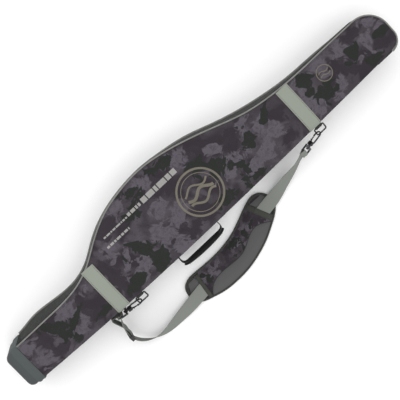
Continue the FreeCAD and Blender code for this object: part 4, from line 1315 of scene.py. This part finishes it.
def between_corners(loop, start, end, count):
    """The part of a closed line from one place to another, going on round it."""
    first = np.linalg.norm(loop - np.array(start) * MM, axis=1).argmin()
    last = np.linalg.norm(loop - np.array(end) * MM, axis=1).argmin()
    if last < first:
        last += len(loop)
    picked = loop[np.arange(first, last + 1) % len(loop)]
    return evenly(picked, count=count)


def pad_height(places):
    """The height of the shoulder pad's upper face."""
    loop = pad_outline()
    away = away_from(places, np.vstack([loop, loop[:1]]))
    seam = away_from(places, smooth_line(PAD_SPLIT, 4) * MM)
    middle = ease((away - 0.004) / 0.022)
    along = ease((places[:, 0] + 0.150) / 0.03) * ease((0.070 - places[:, 0]) / 0.03)
    crown = 0.0060 + 0.0026 * middle + 0.0016 * middle * along
    wave = 0.0005 * ripple(places, 26, 5) * middle
    return crown + wave - 0.0016 * np.exp(-((seam / 0.0032) ** 2))


def make_shoulder_pad():
    """The crescent pad: cushion, mesh panel, binding, end patches and tabs."""
    loop = pad_outline(0.0035)
    count, rise = 96, 30
    corners = ((-192, -220), (-183, -150), (119, -108.5), (124, -174))
    left = between_corners(loop, corners[0], corners[1], rise)
    top = between_corners(loop, corners[1], corners[2], count)
    right = between_corners(loop, corners[2], corners[3], rise)[::-1]
    bottom = between_corners(loop, corners[3], corners[0], count)[::-1]
    left[0], left[-1], right[0], right[-1] = bottom[0], top[0], bottom[-1], top[-1]
    flat = four_sided(bottom, top, left, right)
    cut = Cut()
    cut.shell(raised(flat, over_grid(flat, pad_height)), raised(flat, 0.0012), 0, 1, cloth=flat)
    cushion = sew("pad_cushion", cut, [finish("camo_small"), finish("mesh")], "strap",
                  crisp=60)
    lay_print(cushion, scale=0.42, offset=(-60, -172))
    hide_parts("pad_core", "pad_cloth")

    split = smooth_line(PAD_SPLIT, 3) * MM
    edge = pad_outline(0.0055)
    outer = between_corners(edge, (100, -190), (-160, -230), 80)[::-1]
    split = evenly(split, count=80)
    sides = [evenly([outer[n], split[n]], count=16) for n in (0, -1)]
    flat = four_sided(outer, split, *sides)
    away = away_from(flat.reshape(-1, 2), np.vstack([rim(flat), rim(flat)[:1]]))
    puff = (0.0002 + 0.0011 * ease(away / 0.016)).reshape(flat.shape[:2])
    level = over_grid(flat, pad_height)
    cut = Cut()
    cut.shell(raised(flat, level + puff), raised(flat, level - 0.0008), cloth=flat)
    cord = np.column_stack([split, pad_height(split) + 0.0006])
    along = directions(cord)
    side = np.cross(along, (0, 0, 1))
    cut.tube(cord, side, np.cross(side, along), oval(0.0011, 0.0008, count=8), finish=1)
    panel = sew("pad_mesh_panel", cut, [finish("mesh"), finish("black_webbing")], "strap",
                crisp=60)
    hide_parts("pad_mesh")

    ring = pad_outline(0.0, step=3)
    cut = Cut()
    profile = oval(0.0028, 0.0036, 2.7, 14) + np.array([[-0.0028, 0.0]])
    level_tube(cut, ring, 0.0039, profile, closed=True)
    thread = np.column_stack([beside(ring, 0.0043, closed=True), np.full(len(ring), 0.00735)])
    stitches(cut, thread, (0, 0, 1), length=0.0026, gap=0.0014, finish=1)
    binding = sew("pad_edge_binding", cut, [finish("binding"), finish("thread")], "strap",
                  crisp=60)
    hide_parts("pad_binding")
    make_pad_ends()


def make_pad_ends():
    """The dark patches at the pad's ends, and the tabs over the webbing."""
    patches = {
        "lower": [(-199, -184), (-163, -181), (-164, -158), (-186, -159)],
        "upper": [(90, -134), (129, -137), (121, -117), (80, -116)],
    }
    for place, corners in patches.items():
        a, b, c, d = (np.array(p, float) * MM for p in corners)
        flat = four_sided(evenly([a, b], count=14), evenly([d, c], count=14),
                          evenly([a, d], count=9), evenly([b, c], count=9))
        level = over_grid(flat, pad_height)
        away = away_from(flat.reshape(-1, 2), np.vstack([rim(flat), rim(flat)[:1]]))
        puff = (0.0004 + 0.0004 * ease(away / 0.006)).reshape(flat.shape[:2])
        cut = Cut()
        cut.shell(raised(flat, level + puff), raised(flat, level - 0.0006), cloth=flat)
        edge = smooth_line(np.array([a, b, c, d]) / MM, 2.5, closed=True) * MM
        line = np.column_stack([edge, pad_height(edge) + 0.0007])
        ribbon(cut, line, np.cross(directions(line, True), (0, 0, 1)), 0.0026, 0.0009,
               finish=1, closed=True)
        patch = sew(f"{place}_pad_end_patch", cut, [finish("mesh"), finish("binding")], "strap",
                    crisp=60)
    for place, x, y, wide, length, heading, webbing_side in (
        ("lower", -159, -192, 11, 74, -8, -4), ("upper", 85, -149, 16, 76, 24, -6),
    ):
        turn = math.radians(heading)
        way = np.array([-math.sin(turn), math.cos(turn)])
        spots = np.linspace(-length / 2, length / 2, 40)
        flat = np.array([x, y]) + spots[:, None] * way
        ground = pad_height(flat * MM) / MM
        over = 1 - ease((np.abs(spots - webbing_side) - 19.5) / 6)
        ends = ease((length / 2 - np.abs(spots)) / 3)
        height = np.maximum(ground + 0.9, 11.9 * over + (ground + 0.9) * (1 - over))
        height = height - 2.0 * (1 - ends)
        line = np.column_stack([flat, height]) * MM
        cut = Cut()
        across = (math.cos(turn), math.sin(turn), 0)
        ribbon(cut, line, across, wide * MM, 0.0015)
        for side in (-1, 1):
            row = line[2:-2] + np.array(across) * side * (wide / 2 - 1.8) * MM
            stitches(cut, row + np.array([0, 0, 0.0008]), (0, 0, 1), length=0.0026, gap=0.0012,
                     finish=1)
        tab = sew(f"{place}_pad_strap_tab", cut, [finish("binding"), finish("thread")], "strap",
                  crisp=60)
        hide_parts(f"{place}_pad_tab")


# ---------------------------------------------------------------- the handle and the marks


def make_handle():
    """The carry handle: a sewn base strip, a webbing bow and a padded grip."""
    low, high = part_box("handle_base")
    x = np.linspace(low.x, high.x, 60)
    ends = ease(np.minimum(x - low.x, high.x - x) / 0.022)
    middle_z, tall = (low.z + high.z) / 2, (high.z - low.z)
    back = high.y - 0.0002
    thick = 0.0018 + 0.0030 * ends
    cut = Cut()
    line = np.column_stack([x, back - thick / 2, np.full(len(x), middle_z)])
    up = np.broadcast_to([0.0, -1.0, 0.0], line.shape)
    across = np.broadcast_to([0.0, 0.0, 1.0], line.shape)
    profile = np.array([oval(tall / 2, t / 2, 6, 24) for t in thick])
    cut.tube(line, across, up, profile)
    for z in (low.z + 0.0035, high.z - 0.0035):
        row = np.column_stack([x[3:-3], back - thick[3:-3] - 0.0001, np.full(len(x) - 6, z)])
        stitches(cut, row, (0, -1, 0), finish=1)
    for place in (low.x + 0.018, low.x + 0.026, high.x - 0.018, high.x - 0.026):
        row = [(place, low.y - 0.0001, low.z + 0.005), (place, low.y - 0.0001, high.z - 0.005)]
        stitches(cut, evenly(row, count=12), (0, -1, 0), finish=1)
    strip = sew("handle_base_strip", cut, [finish("black_webbing"), finish("thread")], "case",
                crisp=50)
    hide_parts("handle_base")

    foot = low.y / MM - 0.5
    at, z = HANDLE_MIDDLE, middle_z
    path = smooth_line([
        (at - 68.5, foot), (at - 69.2, foot - 9), (at - 68, foot - 17), (at - 62.5, foot - 22),
        (at - 50, foot - 24.5), (at - 25, foot - 27), (at, foot - 28), (at + 25, foot - 27),
        (at + 50, foot - 24.5), (at + 62.5, foot - 22), (at + 68, foot - 17),
        (at + 69.2, foot - 9), (at + 68.5, foot)], 2) * MM
    line = np.column_stack([path, np.full(len(path), z)])
    along = directions(line)
    across = np.broadcast_to([0.0, 0.0, 1.0], line.shape)
    widths = 0.030 + 0.0065 * ease((foot * MM - 0.002 - path[:, 1]) / 0.012)
    cut = Cut()
    profile = np.array([webbing_edge(w, 0.0022) for w in widths])
    cut.tube(line, across, np.cross(along, across), profile)
    bow = sew("handle_bow_webbing", cut, [finish("black_webbing")], None,
              crisp=50)
    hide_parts("handle_legs")
    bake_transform(bow)

    low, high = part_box("handle_grip")
    s = np.linspace(-1, 1, 64)
    half = (high.x - low.x) / 2 - 0.0015
    full = (1 - np.abs(s) ** 7) ** 0.5
    x = at * MM + s * half
    sag = 0.0028 * (1 - s**2)
    deep = 0.0054 + 0.0022 * (1 - s**2)
    tall = (high.z - low.z) / 2 - 0.0005
    centre = high.y - 0.0060 - sag - 0.0008
    line = np.column_stack([x, centre, np.full(len(x), (low.z + high.z) / 2)])
    up = np.broadcast_to([0.0, -1.0, 0.0], line.shape)
    across = np.broadcast_to([0.0, 0.0, 1.0], line.shape)
    ribs = 1 + 0.018 * np.cos(s * math.pi * 22)
    profile = np.array([
        oval(tall * max(f, 0.25) ** 0.5, d * max(f, 0.12) * r, 3.2, 32)
        for f, d, r in zip(full, deep, ribs)])
    cut = Cut()
    cut.tube(line, across, up, profile)
    for way in (0.55, -0.35):
        row = line[4:-4] + np.column_stack([
            np.zeros(len(line) - 8), -deep[4:-4] * 0.93 * np.sign(way),
            np.full(len(line) - 8, way * tall * 0.9)])
        stitches(cut, row, (0, -np.sign(way), 0), length=0.0034, gap=0.0018, finish=1)
    wrap = sew("handle_grip_wrap", cut, [finish("grip"), finish("thread")], "handle",
               crisp=60)
    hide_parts("handle_grip")


def stroke(cut, path, width, finish_number=0, closed=False):
    """A flat printed stroke on the lid's face along a level path, in metres."""
    left = beside(path, -width / 2, closed)
    right = beside(path, width / 2, closed)
    share = np.array([0, 0.5, 1])[None, :, None]
    grid = left[:, None] * (1 - share) + right[:, None] * share
    height = over_grid(grid, front_height)
    upper = raised(grid, height + 0.00035)
    lower = raised(grid, height - 0.0003)
    ring = np.concatenate([upper, lower[:, ::-1]], axis=1)
    cut.lay(ring, finish=finish_number, around=True, loop=closed)
    if not closed:
        cut.close(ring[0], finish=finish_number)
        cut.close(ring[-1], finish=finish_number)


def make_marks():
    """Plain printed marks: rows of bars, and a ring with three waves."""
    cut = Cut()

    def bars(x, x_to, y, height, lengths, gap=3.0):
        """A row of bars from x to x_to, taking their lengths in turn."""
        for wanted in itertools.cycle(lengths):
            if x >= x_to - 2:
                break
            length = min(wanted, x_to - x)
            path = evenly(np.array([(x, y), (x + length, y)]) * MM, 0.003)
            stroke(cut, path, height * MM)
            x += length + gap

    bars(-118, 3, 97, 15, (16, 22, 9, 26, 13))
    bars(-168, -124, 96, 9, (9, 13, 6, 10))
    bars(-252, -172, 94, 4.5, (7, 12, 5, 9, 15, 4), gap=2.2)
    bars(-262, -186, 70, 6, (8, 11, 6, 13), gap=2.6)
    for radius, width in ((61, 5.5), (50, 1.8)):
        ring = arc((7, 12), radius, 0, 360, 121)[:-1] * MM
        stroke(cut, ring, width * MM, 1, closed=True)
    for shift, width in ((20, 5), (2, 8), (-19, 6)):
        x = np.linspace(-33, 47, 40)
        y = 12 + shift + 7.5 * np.sin((x + shift) / 80 * 2 * math.pi * 1.25)
        inside = np.hypot(x - 7, y - 12) < 45
        stroke(cut, np.column_stack([x, y])[inside] * MM, width * MM, 1)
    ring = arc((444, 16), 21, 0, 360, 61)[:-1] * MM
    stroke(cut, ring, 2.2 * MM, 1, closed=True)
    x = np.linspace(429, 459, 20)
    for shift in (5, -5):
        y = 16 + shift + 3 * np.sin((x - 429) / 30 * 2 * math.pi)
        stroke(cut, np.column_stack([x, y]) * MM, 2.4 * MM, 1)
    sew("printed_marks", cut, [finish("print_pale"), finish("print_warm")], "lid",
        crisp=60)


# ---------------------------------------------------------------- stage


def aim(thing, target, up=(0, 0, 1)):
    """Turns a light or camera towards a place, its top towards up."""
    forward = (Vector(target) - thing.location).normalized()
    right = forward.cross(Vector(up)).normalized()
    top = right.cross(forward)
    turned = Matrix((right, top, -forward)).transposed()
    thing.rotation_euler = turned.to_euler()


def make_stage():
    """A plain pale floor, soft lights and the camera."""
    stage = bpy.context.scene.rod_bag_stage
    made, tree, shader = new_finish("pale_floor", 0.9, gloss=0.1)
    place = node(tree, "TexCoord").outputs["Object"]
    wear = use(tree, "Handling wear", {"Place": place, "Scale": 0.7})
    tinted(tree, shader, tuple(stage.floor_colour), wear["Broad"], 0.985, 1.0)
    mesh = bpy.data.meshes.new("floor")
    reach = 9.0
    mesh.from_pydata([(-reach, -reach, -0.0006), (reach, -reach, -0.0006),
                      (reach, reach, -0.0006), (-reach, reach, -0.0006)], [], [(0, 1, 2, 3)])
    mesh.materials.append(made)
    floor = bpy.data.objects.new("floor", mesh)
    bpy.context.scene.collection.objects.link(floor)
    for name, spot, width, height, power in (
        ("overhead_softbox", (-0.2, 0.5, 3.1), 3.4, 2.6, stage.overhead_power),
        ("zip_side_softbox", (0.3, 3.0, 1.7), 3.0, 1.4, stage.side_power),
        ("spine_side_softbox", (-0.3, -2.8, 1.6), 3.0, 1.4, stage.side_power * 0.8),
    ):
        light = bpy.data.lights.new(name, "AREA")
        light.shape, light.size, light.size_y, light.energy = "RECTANGLE", width, height, power
        lamp = bpy.data.objects.new(name, light)
        lamp.location = spot
        aim(lamp, (0, 0, 0.05), (1, 0, 0) if spot[2] > 2.5 else (0, 0, 1))
        bpy.context.scene.collection.objects.link(lamp)
    world = bpy.context.scene.world or bpy.data.worlds.new("studio")
    bpy.context.scene.world = world
    world.use_nodes = True
    sky = world.node_tree.nodes["Background"]
    sky.inputs["Color"].default_value = (1, 1, 1, 1)
    sky.inputs["Strength"].default_value = stage.sky_strength
    view = bpy.data.cameras.new("camera")
    view.lens, view.sensor_width = stage.lens, 36
    camera = bpy.data.objects.new("camera", view)
    camera.location = stage.camera_place
    bpy.context.scene.collection.objects.link(camera)
    lean = stage.bag_lean
    aim(camera, stage.camera_target, (math.sin(lean), math.cos(lean), 0))
    bpy.context.scene.camera = camera
    bpy.context.scene.view_settings.view_transform = "Standard"


# ---------------------------------------------------------------- settings, operators, panel


CLOTH_DEPTH = 0.62


class RodBagCase(bpy.types.PropertyGroup):
    """Sizes of the case."""

    crown: FloatProperty(name="Crown", description="How far the lid's padding stands up",
                         default=0.0032, unit="LENGTH")
    spine_rounding: FloatProperty(name="Spine rounding", description="Radius along the spine",
                                  default=0.0085, unit="LENGTH")
    zip_rounding: FloatProperty(name="Zip rounding", description="Radius along the piping",
                                default=0.0036, unit="LENGTH")
    piping_radius: FloatProperty(name="Piping radius", description="Half the piping's thickness",
                                 default=0.0021, unit="LENGTH")
    band_width: FloatProperty(name="Band width", description="Width of the webbing bands",
                              default=0.038, unit="LENGTH")


class RodBagStrap(bpy.types.PropertyGroup):
    """Sizes of the shoulder strap."""

    webbing_width: FloatProperty(name="Webbing width", description="Width of the strap",
                                 default=0.038, unit="LENGTH")
    webbing_thick: FloatProperty(name="Webbing thickness", description="Thickness of the strap",
                                 default=0.0018, unit="LENGTH")


def colour(name, description, code):
    """A colour setting, as deep as the cloth is once its weave's shade is added."""
    deep = tuple(CLOTH_DEPTH * part for part in linear(code))
    return FloatVectorProperty(name=name, description=description, default=deep,
                               subtype="COLOR", size=3, min=0.0, max=1.0)


class RodBagColours(bpy.types.PropertyGroup):
    """Colours of the cloths, webbings and mouldings."""

    camo_light: colour("Light patch", "Lightest tone of the print", "67616a")
    camo_middle: colour("Middle tone", "Ground of the print", "4c464c")
    camo_dark: colour("Dark patch", "Plum tone of the print", "3a333a")
    camo_green: colour("Green patch", "Charcoal tone of the print", "2e312e")
    gusset: colour("Gusset", "Side walls", "373a37")
    lining: colour("Lining", "Inside cloth", "2e2e30")
    band: colour("Bands", "Webbing bands", "5c6056")
    strap: colour("Strap", "Shoulder webbing", "4e504a")
    binding: colour("Binding", "Edge tape of the pad", "50524c")
    black: colour("Black", "Black webbing, foam and coil", "1b1b1c")
    zip_tape: colour("Zip tape", "Tape beside the coil", "222322")
    piping: colour("Piping", "Vinyl piping", "8c8c88")
    cup: colour("Base cup", "Moulded base", "1d2120")
    metal: colour("Metal", "Plated hooks and rings", "2b2b2e")
    mesh: colour("Mesh", "Spacer mesh", "303130")
    thread: colour("Thread", "Sewing thread", "474744")
    print_pale: colour("Pale print", "Rows of bars", "b9b7b4")
    print_warm: colour("Warm print", "Ring and waves", "857f72")


class RodBagStage(bpy.types.PropertyGroup):
    """The floor, lights and camera."""

    floor_colour: FloatVectorProperty(name="Floor", description="Pale floor", size=3,
                                      default=(0.97, 0.97, 0.97), subtype="COLOR")
    overhead_power: FloatProperty(name="Overhead light", description="Power of the top light",
                                  default=46.0, unit="POWER")
    side_power: FloatProperty(name="Side lights", description="Power of the side lights",
                              default=15.0, unit="POWER")
    sky_strength: FloatProperty(name="Surround", description="Strength of the even light",
                                default=0.82)
    lens: FloatProperty(name="Lens", description="Focal length", default=85.3, unit="CAMERA")
    camera_place: FloatVectorProperty(name="Camera", description="Where the camera stands",
                                      default=(-0.0076, 0.240, 2.530), subtype="TRANSLATION",
                                      unit="LENGTH")
    camera_target: FloatVectorProperty(name="Target", description="What the camera looks at",
                                       default=(-0.0076, -0.0025, 0.130), subtype="TRANSLATION",
                                       unit="LENGTH")
    bag_lean: FloatProperty(name="Lean", description="How far the bag is turned in view",
                            default=math.radians(43.2), unit="ROTATION")


class RODBAG_OT_stage(bpy.types.Operator):
    """Set up the floor, the lights and the camera"""

    bl_idname = "rodbag.stage"
    bl_label = "Stage"
    bl_options = {"REGISTER", "UNDO"}

    def execute(self, context):
        make_stage()
        return {"FINISHED"}


class RODBAG_OT_front_panel(bpy.types.Operator):
    """Sew the lid's padded face"""

    bl_idname = "rodbag.front_panel"
    bl_label = "Front panel"
    bl_options = {"REGISTER", "UNDO"}

    def execute(self, context):
        make_front_panel()
        return {"FINISHED"}


class RODBAG_OT_back_panel(bpy.types.Operator):
    """Sew the rear panel"""

    bl_idname = "rodbag.back_panel"
    bl_label = "Back panel"
    bl_options = {"REGISTER", "UNDO"}

    def execute(self, context):
        make_back_panel()
        return {"FINISHED"}


class RODBAG_OT_spine(bpy.types.Operator):
    """Sew the spine cloth that hinges the lid"""

    bl_idname = "rodbag.spine"
    bl_label = "Spine"
    bl_options = {"REGISTER", "UNDO"}

    def execute(self, context):
        make_spine_cloth()
        return {"FINISHED"}


class RODBAG_OT_gussets(bpy.types.Operator):
    """Sew the woven side walls"""

    bl_idname = "rodbag.gussets"
    bl_label = "Gussets"
    bl_options = {"REGISTER", "UNDO"}

    def execute(self, context):
        make_gussets()
        return {"FINISHED"}


class RODBAG_OT_piping(bpy.types.Operator):
    """Sew in the piping"""

    bl_idname = "rodbag.piping"
    bl_label = "Piping"
    bl_options = {"REGISTER", "UNDO"}

    def execute(self, context):
        make_piping()
        return {"FINISHED"}


class RODBAG_OT_zip(bpy.types.Operator):
    """Sew in the zip"""

    bl_idname = "rodbag.zip"
    bl_label = "Zip"
    bl_options = {"REGISTER", "UNDO"}

    def execute(self, context):
        make_zip()
        return {"FINISHED"}


class RODBAG_OT_base(bpy.types.Operator):
    """Mould the base cup and fold its collar"""

    bl_idname = "rodbag.base"
    bl_label = "Base"
    bl_options = {"REGISTER", "UNDO"}

    def execute(self, context):
        make_base()
        return {"FINISHED"}


class RODBAG_OT_dividers(bpy.types.Operator):
    """Sew the inner leaves and rod straps"""

    bl_idname = "rodbag.dividers"
    bl_label = "Dividers"
    bl_options = {"REGISTER", "UNDO"}

    def execute(self, context):
        make_dividers()
        return {"FINISHED"}


class RODBAG_OT_bands(bpy.types.Operator):
    """Sew the webbing bands round the bag"""

    bl_idname = "rodbag.bands"
    bl_label = "Bands"
    bl_options = {"REGISTER", "UNDO"}

    def execute(self, context):
        make_bands()
        return {"FINISHED"}


class RODBAG_OT_ring_tabs(bpy.types.Operator):
    """Sew the tabs that hold the rings"""

    bl_idname = "rodbag.ring_tabs"
    bl_label = "Ring tabs"
    bl_options = {"REGISTER", "UNDO"}

    def execute(self, context):
        make_ring_tabs()
        return {"FINISHED"}


class RODBAG_OT_hooks(bpy.types.Operator):
    """Finish the hooks, loops and adjuster"""

    bl_idname = "rodbag.hooks"
    bl_label = "Hooks"
    bl_options = {"REGISTER", "UNDO"}

    def execute(self, context):
        make_hooks()
        return {"FINISHED"}


class RODBAG_OT_slider(bpy.types.Operator):
    """Finish the zip's slider and pull"""

    bl_idname = "rodbag.slider"
    bl_label = "Slider"
    bl_options = {"REGISTER", "UNDO"}

    def execute(self, context):
        make_slider()
        return {"FINISHED"}


class RODBAG_OT_strap(bpy.types.Operator):
    """Lay the strap's webbing"""

    bl_idname = "rodbag.strap"
    bl_label = "Strap"
    bl_options = {"REGISTER", "UNDO"}

    def execute(self, context):
        make_strap()
        return {"FINISHED"}


class RODBAG_OT_shoulder_pad(bpy.types.Operator):
    """Sew the shoulder pad"""

    bl_idname = "rodbag.shoulder_pad"
    bl_label = "Shoulder pad"
    bl_options = {"REGISTER", "UNDO"}

    def execute(self, context):
        make_shoulder_pad()
        return {"FINISHED"}


class RODBAG_OT_handle(bpy.types.Operator):
    """Sew the carry handle"""

    bl_idname = "rodbag.handle"
    bl_label = "Handle"
    bl_options = {"REGISTER", "UNDO"}

    def execute(self, context):
        make_handle()
        return {"FINISHED"}


class RODBAG_OT_marks(bpy.types.Operator):
    """Print the plain marks on the lid"""

    bl_idname = "rodbag.marks"
    bl_label = "Marks"
    bl_options = {"REGISTER", "UNDO"}

    def execute(self, context):
        make_marks()
        return {"FINISHED"}


# In the order in which the pieces are made.
OPERATORS = [
    RODBAG_OT_stage, RODBAG_OT_front_panel, RODBAG_OT_back_panel, RODBAG_OT_spine,
    RODBAG_OT_gussets, RODBAG_OT_piping, RODBAG_OT_zip, RODBAG_OT_base, RODBAG_OT_dividers,
    RODBAG_OT_bands, RODBAG_OT_ring_tabs, RODBAG_OT_hooks, RODBAG_OT_slider, RODBAG_OT_strap,
    RODBAG_OT_shoulder_pad, RODBAG_OT_handle, RODBAG_OT_marks,
]


class RODBAG_PT_workshop(bpy.types.Panel):
    """Lists the pieces of the bag."""

    bl_idname = "RODBAG_PT_workshop"
    bl_label = "Rod Bag"
    bl_space_type = "VIEW_3D"
    bl_region_type = "UI"
    bl_category = "Rod Bag"

    def draw(self, context):
        for made in OPERATORS:
            self.layout.operator(made.bl_idname)
        for group in ("rod_bag_case", "rod_bag_strap", "rod_bag_colours", "rod_bag_stage"):
            settings = getattr(context.scene, group)
            box = self.layout.box()
            for key in settings.bl_rna.properties.keys():
                if key not in ("name", "rna_type"):
                    box.prop(settings, key)


SETTINGS = [("rod_bag_case", RodBagCase), ("rod_bag_strap", RodBagStrap),
            ("rod_bag_colours", RodBagColours), ("rod_bag_stage", RodBagStage)]


def register():
    """Adds the settings, the operators and the panel."""
    for _, group in SETTINGS:
        bpy.utils.register_class(group)
    for made in OPERATORS + [RODBAG_PT_workshop]:
        bpy.utils.register_class(made)
    for name, group in SETTINGS:
        setattr(bpy.types.Scene, name, PointerProperty(type=group))


def unregister():
    """Takes them away again."""
    for name, _ in SETTINGS:
        delattr(bpy.types.Scene, name)
    for made in OPERATORS + [RODBAG_PT_workshop]:
        bpy.utils.unregister_class(made)
    for _, group in SETTINGS:
        bpy.utils.unregister_class(group)


def main():
    """Makes the whole bag."""
    register()
    for made in OPERATORS:
        getattr(bpy.ops.rodbag, made.bl_idname.split(".")[1])()


if __name__ == "__main__":
    main()
